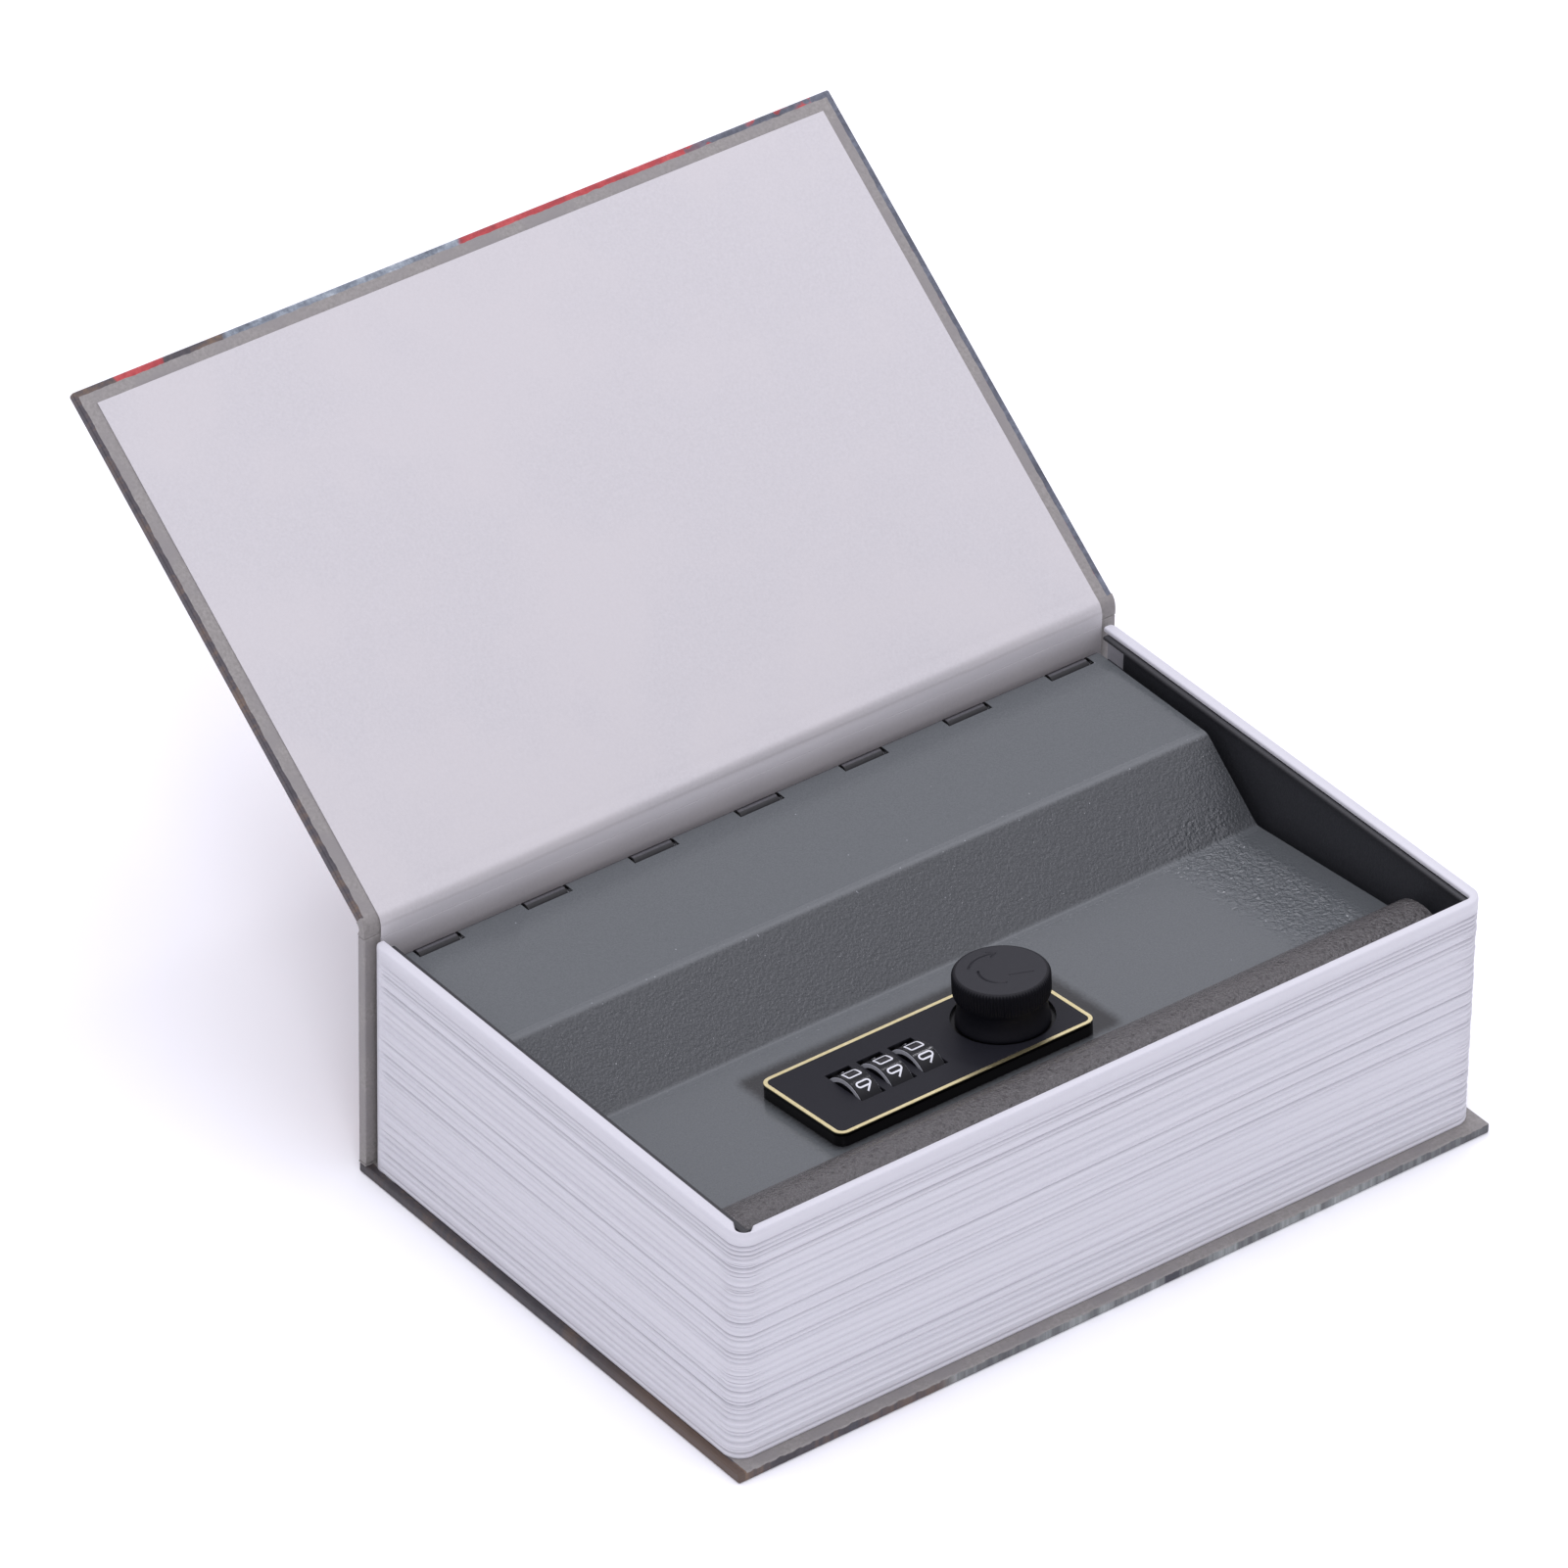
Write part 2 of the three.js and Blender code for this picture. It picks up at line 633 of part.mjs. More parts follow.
// Face plate with a window for each wheel and a recess round the knob, and the gold line round it
function lockPlate() {
  const half = [plateLength / 2, plateWidth / 2];
  const edge = rectangle([-half[0], half[0]], [-half[1], half[1]], plateCornerRadius);
  const trimInner = trimWidth + trimGap;
  const raised = rectangle(
    [-half[0] + trimInner, half[0] - trimInner],
    [-half[1] + trimInner, half[1] - trimInner],
    plateCornerRadius - trimWidth,
  );
  const base = prismZ(edge, [seatGap, plateTop - trimDepth - trimGap]);
  const middle = prismZ(raised, [seatGap, plateTop]);
  const windowHalf = Math.sqrt(wheelRadius ** 2 - (skinFoot - axleH) ** 2) + windowGap;
  const windows = wheelCentres().map((u) => box(
    [u - wheelWidth / 2 - windowGap, u + wheelWidth / 2 + windowGap],
    [-windowHalf, windowHalf],
    [0, plateTop + wheelRise],
  ));
  const pocket = box([bayStart, bayEnd], [-bayWidth / 2, bayWidth / 2], [-plateTop, skinFoot]);
  const screwHoles = [-caseScrewU, caseScrewU].map(
    (u) => barZ(caseScrewRadius + seatGap, [u, 0], [-plateTop, caseScrewBite + 2 * seatGap], smallSides),
  );
  const plate = cut(
    join(base, middle),
    ...windows,
    pocket,
    ...screwHoles,
    barZ(recessRadius, [knobU, 0], [recessFloor, plateTop + wheelRise], recessSides),
    barZ(spindleHole, [knobU, 0], [-plateTop, plateTop]),
  );
  piece(lock, 'lock_plate', plate, blackPlastic);
  const trimHole = rectangle(
    [-half[0] + trimWidth, half[0] - trimWidth],
    [-half[1] + trimWidth, half[1] - trimWidth],
    plateCornerRadius - trimWidth,
  );
  const trim = cut(
    solid(prismZ(edge, [plateTop - trimDepth, plateTop])),
    prismZ(trimHole, [0, knobTop]),
  );
  piece(lock, 'brass_trim', trim, gold);
}

// Case: bay for the wheels, slots for the axle, way for the fence, holes for spindle and screws
function lockCase() {
  const halfU = plateLength / 2 - caseMargin;
  const halfV = plateWidth / 2 - caseSideMargin;
  const outline = rectangle([-halfU, halfU], [-halfV, halfV], plateCornerRadius);
  const bossU = plateLength / 2 - cutMargin - cutGap;
  const bossV = cutWidth / 2 - cutGap;
  const body = join(
    prismZ(outline, [caseBottom, caseTop]),
    box([-bossU, bossU], [-bossV, bossV], [caseBottom, 0]),
  );
  const wayHalf = fenceWidth / 2 + sleeveGap;
  const headTop = caseBottom + caseScrewHeadHeight + 2 * seatGap;
  const screwWays = [-caseScrewU, caseScrewU].flatMap((u) => [
    barZ(caseScrewRadius + seatGap, [u, 0], [caseBottom - past, past], smallSides),
    barZ(caseScrewHeadRadius + 2 * seatGap, [u, 0], [caseBottom - past, headTop], mediumSides),
  ]);
  const slotSpan = [bayStart - axleSlotDepth, bayEnd + axleSlotDepth];
  const slotHalf = axleRadius + seatGap;
  const springTop = fenceTop + fenceSpringLength + 2 * seatGap;
  const flangeRadius = buttonRadius + buttonFlange + sleeveGap;
  const buttonAt = [buttonU, buttonV];
  const buttonTop = bayFloor + buttonFlangeThickness + buttonSpringLength + 4 * seatGap;
  const made = cut(
    body,
    box([bayStart, bayEnd], [-bayWidth / 2, bayWidth / 2], [bayFloor, past]),
    box(slotSpan, [-slotHalf, slotHalf], [axleH, past]),
    barX(slotHalf, [0, axleH], slotSpan),
    box([bayStart, fenceEnd + sleeveGap], [-wayHalf, wayHalf], [bayFloor, fenceTop + windowGap]),
    barZ(fenceWidth / 2 + sleeveGap, [fenceSpringU, 0], [fenceTop, springTop], smallSides),
    barZ(spindleHole, [knobU, 0], [caseBottom - past, past]),
    ...screwWays,
    barZ(buttonRadius + seatGap + trimGap, buttonAt, [caseBottom - past, bayFloor + past], mediumSides),
    barZ(flangeRadius, buttonAt, [bayFloor, buttonTop], mediumSides),
  );
  piece(lock, 'lock_case', made, zinc);
}

// Wheel profile drawn about Z, then laid along u
function laidAlongU(geometry, u) {
  return geometry.rotateY(Math.PI / 2).translate(u, 0, axleH);
}

function numberWheels() {
  const half = wheelWidth / 2;
  const barrel = [
    [wheelBore, -half],
    [wheelRadius - wheelEdge, -half],
    [wheelRadius, -half + wheelEdge],
    [wheelRadius, half - wheelEdge],
    [wheelRadius - wheelEdge, half],
    [wheelBore, half],
    [wheelBore, -half],
  ];
  wheelCentres().forEach((u, i) => {
    piece(lock, `number_wheel_${i + 1}`, laidAlongU(turned(barrel), u), glossBlack);
  });
}

// Sleeve inside each wheel, its gate disc notched for the detents and, at the bottom, for the fence
function codeSleeves() {
  const rim = new THREE.Shape();
  for (let i = 0; i < detentCount * detentSteps; i += 1) {
    const radius = i % detentSteps === 0 ? gateDiscRadius - detentDepth : gateDiscRadius;
    const angle = 2 * Math.PI * i / (detentCount * detentSteps);
    rim[i ? 'lineTo' : 'moveTo'](radius * Math.cos(angle), radius * Math.sin(angle));
  }
  wheelCentres().forEach((u, i) => {
    const gateFoot = axleH - gateDiscRadius;
    const body = cut(
      join(
        laidAlongU(prismZ(rim, [gateStart, gateEnd]), u),
        barX(sleeveRadius, [0, axleH], [u - wheelWidth / 2, u + gateEnd], largeSides),
      ),
      barX(sleeveBore, [0, axleH], [u - wheelWidth, u + wheelWidth]),
      box(
        [u + gateStart - seatGap, u + gateEnd + seatGap],
        [-gateWidth / 2, gateWidth / 2],
        [gateFoot - past, gateFoot + gateDepth],
      ),
    );
    piece(lock, `code_sleeve_${i + 1}`, body, zinc);
  });
  const reach = axleSlotDepth - sleeveGap;
  const axle = barX(axleRadius, [0, axleH], [bayStart - reach, bayEnd + reach]);
  piece(lock, 'wheel_axle', axle, springSteel);
}

// Leaf against the bay's front wall, with a finger between the wheels for each notched disc
function detentSpring() {
  const wallV = -bayWidth / 2 + seatGap;
  const baseTop = axleH - gateDiscRadius + gateDepth;
  const base = box(
    [bayStart + sleeveGap, bayEnd - sleeveGap],
    [wallV, wallV + detentLeaf],
    [fenceFoot, baseTop],
  );
  const tipV = -gateDiscRadius - toothGap - detentLeaf;
  const line = [
    new THREE.Vector2(wallV, baseTop - detentLeaf),
    new THREE.Vector2(tipV, axleH),
    new THREE.Vector2(tipV, axleH + detentLeaf),
  ];
  const outline = sheetOutline(line.reverse(), detentLeaf);
  const fingers = wheelCentres().map((u) => {
    const middle = u + (gateStart + gateEnd) / 2;
    return prismX(outline, [middle - toothWidth / 2, middle + toothWidth / 2]);
  });
  piece(lock, 'detent_spring', join(base, ...fingers), springSteel);
}

// Bar under the wheels: a tooth faces each gate, a spring pushes its end away from the case
function fence() {
  const start = bayStart + bayEndGap / 2;
  const bar = box([start, fenceEnd], [-fenceWidth / 2, fenceWidth / 2], [fenceFoot, fenceTop]);
  const toothTop = axleH - gateDiscRadius - toothGap;
  const toothHalf = gateWidth / 2 - sleeveGap;
  const teeth = wheelCentres().map((u) => {
    const middle = u + (gateStart + gateEnd) / 2;
    return box(
      [middle - toothWidth / 2, middle + toothWidth / 2],
      [-toothHalf, toothHalf],
      [fenceFoot, toothTop],
    );
  });
  piece(lock, 'fence_bar', join(bar, ...teeth), zinc);
  const span = [fenceTop + seatGap, fenceTop + fenceSpringLength + seatGap];
  const coilRadius = fenceWidth / 2 - windowGap;
  piece(lock, 'fence_spring', coil([fenceSpringU, 0], span, coilRadius, fenceWire), springSteel);
}

// Knob: ribbed grip, waist and foot, with a blind bore for the spindle
function knob() {
  const foot = recessFloor + sleeveGap;
  const bore = spindleRadius + seatGap;
  const gripFoot = knobTop - knobEdge - knurlHeight;
  const core = knobRadius - knurlDepth;
  const profile = [
    [0, spindleTop + seatGap],
    [bore, spindleTop + seatGap],
    [bore, foot],
    [knobFootRadius - knobEdge, foot],
    [knobFootRadius, foot + knobEdge],
    [knobWaistRadius, foot + knobFootRise],
    [knobWaistRadius, gripFoot - knobWaistDrop],
    [core, gripFoot],
    [core, knobTop],
    [0, knobTop],
  ];
  const grip = new THREE.Shape();
  for (let i = 0; i < knurlCount * 2; i += 1) {
    const radius = i % 2 ? knobRadius : core;
    const angle = Math.PI * i / knurlCount;
    grip[i ? 'lineTo' : 'moveTo'](knobU + radius * Math.cos(angle), radius * Math.sin(angle));
  }
  const ribs = cut(
    solid(prismZ(grip, [gripFoot, knobTop - knobEdge])),
    barZ(core - past, [knobU, 0], [0, knobTop]),
  );
  piece(lock, 'knob', solid(turned(profile, [knobU, 0])).add(ribs), knobBlack);
}

// Spindle through plate and case, square where it drives the cam, and what holds the cam on
function spindleAndCam() {
  const shoulder = camTop + trimGap;
  const squareHalf = spindleSquare / 2;
  const squareFoot = camFoot + trimGap;
  const screwTop = squareFoot + camScrewLength;
  const shaft = join(
    barZ(spindleRadius, [knobU, 0], [shoulder, spindleTop]),
    box([knobU - squareHalf, knobU + squareHalf], [-squareHalf, squareHalf], [squareFoot, shoulder + past]),
  );
  const wayRadius = camScrewRadius + seatGap;
  const screwWay = barZ(wayRadius, [knobU, 0], [camFoot - past, screwTop + seatGap], smallSides);
  piece(lock, 'spindle', cut(shaft, screwWay), zinc);

  const outline = new THREE.Shape();
  const quarter = Math.PI / 2;
  const tipU = knobU + camReach;
  const tipHalf = camTipWidth / 2;
  outline.absarc(knobU, 0, camWidth / 2, quarter, 3 * quarter, false);
  outline.lineTo(tipU - camTipCorner, -tipHalf);
  outline.lineTo(tipU, camTipCorner - tipHalf);
  outline.lineTo(tipU, tipHalf - camTipCorner);
  outline.lineTo(tipU - camTipCorner, tipHalf);
  const holeHalf = squareHalf + seatGap;
  const holeV = [-holeHalf, holeHalf];
  const hole = box([knobU - holeHalf, knobU + holeHalf], holeV, [camFoot - past, camTop + past]);
  piece(lock, 'cam', cut(solid(prismZ(outline, [camFoot, camTop])), hole), zinc);

  const washer = cut(
    solid(barZ(washerRadius, [knobU, 0], [camTop + seatGap, caseBottom - seatGap])),
    barZ(spindleRadius + seatGap, [knobU, 0], [camTop, caseBottom]),
  );
  piece(lock, 'cam_washer', washer, springSteel);

  const headTop = camFoot - seatGap;
  const screw = join(
    barZ(camScrewHeadRadius, [knobU, 0], [headTop - camScrewHeadHeight, headTop]),
    barZ(camScrewRadius, [knobU, 0], [headTop - camScrewHeadHeight / 2, screwTop], smallSides),
  );
  piece(lock, 'cam_screw', screw, springSteel);
}

// Screws from below through the case into the plate
function caseScrews() {
  const headFoot = caseBottom + seatGap;
  const headTop = headFoot + caseScrewHeadHeight;
  [-caseScrewU, caseScrewU].forEach((u, i) => {
    const screw = join(
      barZ(caseScrewHeadRadius, [u, 0], [headFoot, headTop], mediumSides),
      barZ(caseScrewRadius, [u, 0], [headFoot + seatGap, caseScrewBite + seatGap], smallSides),
    );
    piece(lock, `case_screw_${i + 1}`, screw, springSteel);
  });
}

// Code button on the case's underside: its flange keeps it in, a coil spring pushes it out
function codeButton() {
  const centre = [buttonU, buttonV];
  const flangeFoot = bayFloor + seatGap;
  const flangeTop = flangeFoot + buttonFlangeThickness;
  const stubRadius = buttonRadius / 2;
  const button = join(
    barZ(buttonRadius, centre, [caseBottom - buttonRise, flangeTop], mediumSides),
    barZ(buttonRadius + buttonFlange, centre, [flangeFoot, flangeTop], mediumSides),
    barZ(stubRadius, centre, [flangeFoot, flangeTop + buttonRise], tinySides),
  );
  piece(lock, 'code_button', button, zinc);
  const span = [flangeTop + seatGap, flangeTop + seatGap + buttonSpringLength];
  piece(lock, 'button_spring', coil(centre, span, buttonRadius - seatGap, buttonWire), springSteel);
}

bookCase();
coverBoard();
coverJoint();
pageBlock();
tray();
strike();
lid();
lockPlate();
lockCase();
numberWheels();
codeSleeves();
detentSpring();
fence();
knob();
spindleAndCam();
caseScrews();
codeButton();

export default book;
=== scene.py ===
import math
import random

import bmesh
import bpy
import numpy as np
from mathutils import Matrix, Vector


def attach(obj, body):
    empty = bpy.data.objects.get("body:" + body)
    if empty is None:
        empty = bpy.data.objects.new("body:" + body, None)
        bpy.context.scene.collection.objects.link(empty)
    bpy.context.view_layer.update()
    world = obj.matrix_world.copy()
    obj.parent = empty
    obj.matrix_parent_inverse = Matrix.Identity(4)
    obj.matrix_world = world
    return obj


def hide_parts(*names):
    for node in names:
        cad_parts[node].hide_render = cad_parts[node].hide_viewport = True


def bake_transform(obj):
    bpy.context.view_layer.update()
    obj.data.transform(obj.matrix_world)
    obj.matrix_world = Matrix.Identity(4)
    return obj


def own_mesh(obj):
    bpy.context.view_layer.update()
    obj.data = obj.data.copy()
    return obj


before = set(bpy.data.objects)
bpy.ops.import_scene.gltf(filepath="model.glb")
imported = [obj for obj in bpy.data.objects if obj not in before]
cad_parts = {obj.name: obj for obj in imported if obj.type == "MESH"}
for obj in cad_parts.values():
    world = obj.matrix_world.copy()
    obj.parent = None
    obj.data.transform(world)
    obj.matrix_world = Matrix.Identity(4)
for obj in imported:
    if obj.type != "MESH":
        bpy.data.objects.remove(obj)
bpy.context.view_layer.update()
MM = 0.001


# Camera, fitted to the photograph

def make_camera():
    azimuth, elevation, roll = (math.radians(a) for a in (-38.22, 35.51, 1.04))
    target, distance = Vector((0.0256, 0.0781, 0.030)), 2.446
    back = Vector((
        math.sin(azimuth) * math.cos(elevation),
        -math.cos(azimuth) * math.cos(elevation),
        math.sin(elevation),
    ))
    level = Vector((math.cos(azimuth), math.sin(azimuth), 0))
    upright = back.cross(level)
    right = math.cos(roll) * level + math.sin(roll) * upright
    up = math.cos(roll) * upright - math.sin(roll) * level
    data = bpy.data.cameras.new("camera")
    data.lens = 290.3
    data.sensor_width = 36
    data.clip_start = 0.1
    data.clip_end = 30
    camera = bpy.data.objects.new("camera", data)
    matrix = Matrix((right, up, back)).transposed().to_4x4()
    matrix.translation = target + back * distance
    camera.matrix_world = matrix
    bpy.context.scene.collection.objects.link(camera)
    bpy.context.scene.camera = camera


make_camera()


# Places and frames of the turned parts, in millimetres

HALF_LENGTH = 90
PAGES_HALF = 88.6
PAGES_FRONT = -56.3
PAGES_RADIUS = 4.0
LID_AXIS = (0, 53.8, 48.8)
COVER_AXIS = Vector((0, 58.075, 56.8))
COVER_ANGLE = math.radians(143.1)
TILT = math.radians(5.5)
LOCK_ORIGIN = Vector((-16.2, -20.1835, 40.1249))
ALONG_V = Vector((0, math.cos(TILT), -math.sin(TILT)))
ALONG_H = Vector((0, math.sin(TILT), math.cos(TILT)))
WHEEL_PLACES = (-17.25, -9.9, -2.55)
WHEEL_AXLE = -2.1


def on_lock(u, v, h):
    """A point on the tilted lock: u along the plate, v across it, h out of it."""
    return LOCK_ORIGIN + Vector((u, 0, 0)) + ALONG_V * float(v) + ALONG_H * float(h)


def on_cover(x, y, z):
    """A point given from the hinge on the closed cover, turned to where the cover lies open."""
    c, s = math.cos(COVER_ANGLE), -math.sin(COVER_ANGLE)
    return COVER_AXIS + Vector((x, y * c - z * s, y * s + z * c))


# Materials: a small builder of node trees

def colour(r, g, b):
    """A display colour, 0 to 255, as the linear colour that a socket takes."""
    linear = [
        v / 12.92 if v <= 0.04045 else ((v + 0.055) / 1.055) ** 2.4
        for v in (r / 255, g / 255, b / 255)
    ]
    return (*linear, 1)


class Finish:
    """One material: its nodes are added by short calls and end in a Principled shader."""

    def __init__(self, name, **values):
        self.material = bpy.data.materials.new(name)
        self.material.use_nodes = True
        self.tree = self.material.node_tree
        self.tree.nodes.clear()
        output = self.tree.nodes.new("ShaderNodeOutputMaterial")
        self.shader = self.tree.nodes.new("ShaderNodeBsdfPrincipled")
        self.tree.links.new(self.shader.outputs[0], output.inputs["Surface"])
        for socket, value in values.items():
            self.set(socket.capitalize(), value)
        where = self.tree.nodes.new("ShaderNodeTexCoord")
        self.place = self.vector("SCALE", where.outputs["Object"], scale=1000)

    def set(self, name, value):
        """Sets or links one input of the shader."""
        self.put(self.shader.inputs[name], value)

    def put(self, socket, value):
        if isinstance(value, bpy.types.NodeSocket):
            self.tree.links.new(value, socket)
        else:
            socket.default_value = value

    def vector(self, operation, a, b=None, scale=None):
        node = self.tree.nodes.new("ShaderNodeVectorMath")
        node.operation = operation
        self.put(node.inputs[0], a)
        if b is not None:
            self.put(node.inputs[1], b)
        if scale is not None:
            node.inputs["Scale"].default_value = scale
        return node.outputs["Value" if operation in ("LENGTH", "DISTANCE") else "Vector"]

    def turned(self, centre, angle):
        """The place relative to a point in mm, turned about X through it."""
        node = self.tree.nodes.new("ShaderNodeVectorRotate")
        node.rotation_type = "X_AXIS"
        self.put(node.inputs["Vector"], self.place)
        node.inputs["Center"].default_value = centre
        node.inputs["Angle"].default_value = angle
        return self.vector("SUBTRACT", node.outputs[0], tuple(centre))

    def parts(self, vector):
        node = self.tree.nodes.new("ShaderNodeSeparateXYZ")
        self.put(node.inputs[0], vector)
        return node.outputs[0], node.outputs[1], node.outputs[2]

    def joined(self, x, y, z):
        node = self.tree.nodes.new("ShaderNodeCombineXYZ")
        for socket, value in zip(node.inputs, (x, y, z)):
            self.put(socket, value)
        return node.outputs[0]

    def noise(self, vector, scale, detail=2.0, roughness=0.5, distortion=0.0):
        node = self.tree.nodes.new("ShaderNodeTexNoise")
        self.put(node.inputs["Vector"], vector)
        node.inputs["Scale"].default_value = scale
        node.inputs["Detail"].default_value = detail
        node.inputs["Roughness"].default_value = roughness
        node.inputs["Distortion"].default_value = distortion
        return node.outputs[0]

    def cells(self, vector, scale, feature="F1", metric="EUCLIDEAN", output=0):
        """Distance to the nearest of many scattered points, or with output 1 that point's colour."""
        node = self.tree.nodes.new("ShaderNodeTexVoronoi")
        node.feature = feature
        node.distance = metric
        self.put(node.inputs["Vector"], vector)
        node.inputs["Scale"].default_value = scale
        return node.outputs[output]

    def math(self, operation, a, b=0.0):
        node = self.tree.nodes.new("ShaderNodeMath")
        node.operation = operation
        self.put(node.inputs[0], a)
        self.put(node.inputs[1], b)
        return node.outputs[0]

    def plus(self, a, b):
        return self.math("ADD", a, b)

    def minus(self, a, b):
        return self.math("SUBTRACT", a, b)

    def times(self, a, b):
        return self.math("MULTIPLY", a, b)

    def apart(self, a, b):
        return self.math("ABSOLUTE", self.minus(a, b))

    def larger(self, a, b):
        return self.math("MAXIMUM", a, b)

    def step(self, value, low, high):
        """Goes smoothly from 0 at low to 1 at high; low may be the larger number."""
        node = self.tree.nodes.new("ShaderNodeMapRange")
        self.put(node.inputs["Value"], value)
        node.inputs["From Min"].default_value = low
        node.inputs["From Max"].default_value = high
        node.interpolation_type = "SMOOTHSTEP"
        return node.outputs[0]

    def ramp(self, value, stops):
        """Display colours at stops along a value."""
        node = self.tree.nodes.new("ShaderNodeValToRGB")
        self.put(node.inputs[0], value)
        elements = node.color_ramp.elements
        while len(elements) < len(stops):
            elements.new(0.5)
        for element, (position, shade) in zip(elements, stops):
            element.position = position
            element.color = colour(*shade)
        return node.outputs[0]

    def between(self, value, low, high):
        """From one display colour to another as the value goes from 0.3 to 0.7."""
        return self.ramp(value, [(0.3, low), (0.7, high)])

    def mix(self, share, a, b):
        node = self.tree.nodes.new("ShaderNodeMix")
        node.data_type = "RGBA"
        self.put(node.inputs[0], share)
        self.put(node.inputs[6], a)
        self.put(node.inputs[7], b)
        return node.outputs[2]

    def paint(self, value):
        self.set("Base Color", value)

    def bump(self, height, depth, strength=1.0):
        """Relief that rises by depth, in mm, as the height goes from 0 to 1."""
        node = self.tree.nodes.new("ShaderNodeBump")
        node.inputs["Strength"].default_value = strength
        node.inputs["Distance"].default_value = depth * MM
        self.put(node.inputs["Height"], height)
        self.put(self.shader.inputs["Normal"], node.outputs[0])


def printed(finish, x, w, layout):
    """Generic printed blocks of plum, red and mottled grey-blue, by place on the sheet in mm. On the back,
    painted shade darkens the left border.
    """
    front = layout == "front"
    place = finish.joined(x, w, 0.0 if front else 40.0)
    cloud = finish.noise(place, 0.09, 5, 0.65)
    fine = finish.noise(place, 0.9, 3, 0.6)
    both = finish.plus(finish.times(cloud, 0.7), finish.times(fine, 0.3))

    def mottled(shades, places=(0.35, 0.5, 0.65)):
        return finish.ramp(both, list(zip(places, shades)))

    greys = [(70, 76, 86), (108, 116, 126), (142, 150, 158), (176, 182, 187)]
    if not front:
        greys = [(56, 56, 59), (92, 94, 95), (128, 132, 131), (162, 165, 162)]
    blue = mottled(greys, (0.36, 0.47, 0.56, 0.66))
    red = mottled([(108, 32, 38), (160, 48, 52), (180, 76, 76)])
    dark = mottled([(36, 33, 38), (62, 57, 62), (104, 84, 68)])
    slate = mottled([(54, 56, 66), (80, 83, 94), (112, 118, 130)])
    drift = finish.times(finish.minus(finish.noise(place, 0.13, 2), 0.5), 12)
    along = finish.plus(x, drift)
    start, end = (-56.0, -54.5) if front else (-42, -36)
    made = finish.mix(finish.step(along, start, end), dark, blue)
    blocks = finish.cells(place, 0.16, metric="CHEBYCHEV")
    value = finish.parts(finish.cells(place, 0.16, metric="CHEBYCHEV", output=1))[0]
    chosen = finish.times(finish.step(blocks, 0.30, 0.26), finish.step(value, 0.66, 0.68))
    made = finish.mix(chosen, made, finish.mix(0.55, dark, colour(52, 56, 66)))
    pale = finish.times(finish.step(blocks, 0.24, 0.2), finish.step(value, 0.12, 0.10))
    made = finish.mix(pale, made, colour(176, 182, 186))
    if front:
        made = finish.mix(finish.step(along, -0.6, 0.6), made, finish.mix(chosen, red, slate))
        early = finish.times(finish.step(along, -80, -79), finish.step(along, -69, -70))
        made = finish.mix(early, made, red)
        patches = finish.step(finish.noise(finish.joined(x, w, 90), 0.16, 2), 0.5, 0.53)
        made = finish.mix(finish.times(finish.step(along, 40, 62), patches), made, slate)
        made = finish.mix(finish.step(x, -89.1, -89.3), made, dark)
        return finish.mix(finish.step(x, 88.5, 88.7), made, slate)
    # Back: painted shade on the left border, dark grey by the spine and browner towards the fore-edge.
    dim = finish.mix(0.5, dark, colour(44, 40, 40))
    left_border_shade = finish.mix(finish.step(w, 60, 100), dim, colour(80, 64, 54))
    return finish.mix(finish.step(x, -88.4, -88.7), made, left_border_shade)


def taupe_paper(finish):
    """Colour of the plain covering paper."""
    weave = finish.noise(finish.place, 1.6, 4, 0.6)
    broad = finish.noise(finish.place, 0.12, 2)
    base = finish.between(weave, (119, 115, 112), (140, 136, 133))
    return finish.mix(finish.step(broad, 0.35, 0.7), base, colour(125, 121, 120))


def board_finish(name, plane, layout, limits):
    """Printed paper round a board, plain on the inner face. plane gives x, w and the depth into the
    board in mm. The plain part ends at the limits: w at the fore-edge, x at the right and left ends."""
    finish = Finish(name, roughness=0.5)
    x, w, depth = plane(finish)
    ragged = finish.times(finish.minus(finish.noise(finish.place, 0.5, 2), 0.5), 0.5)
    w_near = finish.plus(w, ragged)
    x_near = finish.plus(x, ragged)
    inner = finish.step(depth, 0.5, 0.25)
    fore, right, left = limits
    plain = finish.times(finish.step(w_near, fore, fore - 0.1), finish.step(x_near, right, right - 0.1))
    plain = finish.times(plain, finish.step(x_near, left, left + 0.1))
    plain = finish.times(inner, plain)
    finish.paint(finish.mix(plain, printed(finish, x, w, layout), taupe_paper(finish)))
    grain = finish.noise(finish.place, 2.2, 4, 0.6)
    finish.bump(grain, 0.03, 0.6)
    return finish.material


def spine_finish(name, outside):
    """Printed paper with a darker panel between two rules where y is over outside, else plain paper."""
    finish = Finish(name, roughness=0.5)
    x, y, z = finish.parts(finish.place)
    w = finish.minus(z, COVER_AXIS.z)
    made = printed(finish, x, w, "front")
    middle = finish.math("ABSOLUTE", finish.plus(x, 12))
    panel = finish.mix(0.25, colour(38, 38, 44), made)
    made = finish.mix(finish.step(middle, 46.2, 46.0), made, panel)
    rule = finish.step(finish.apart(middle, 46), 0.6, 0.5)
    made = finish.mix(rule, made, colour(158, 162, 166))
    finish.paint(finish.mix(finish.step(y, outside - 0.1, outside), taupe_paper(finish), made))
    finish.bump(finish.noise(finish.place, 2.2, 4, 0.6), 0.03, 0.6)
    return finish.material


def front_plane(finish):
    """Place on the open cover: x, distance from the hinge, depth from its inner face."""
    x, y, z = finish.parts(finish.turned(COVER_AXIS, COVER_ANGLE))
    return x, finish.times(y, -1), finish.plus(z, 1.95)


def back_plane(finish):
    """Place on the back board: x, distance from the spine, depth from its inner face."""
    x, y, z = finish.parts(finish.place)
    return x, finish.minus(57.05, y), finish.minus(2.2, z)


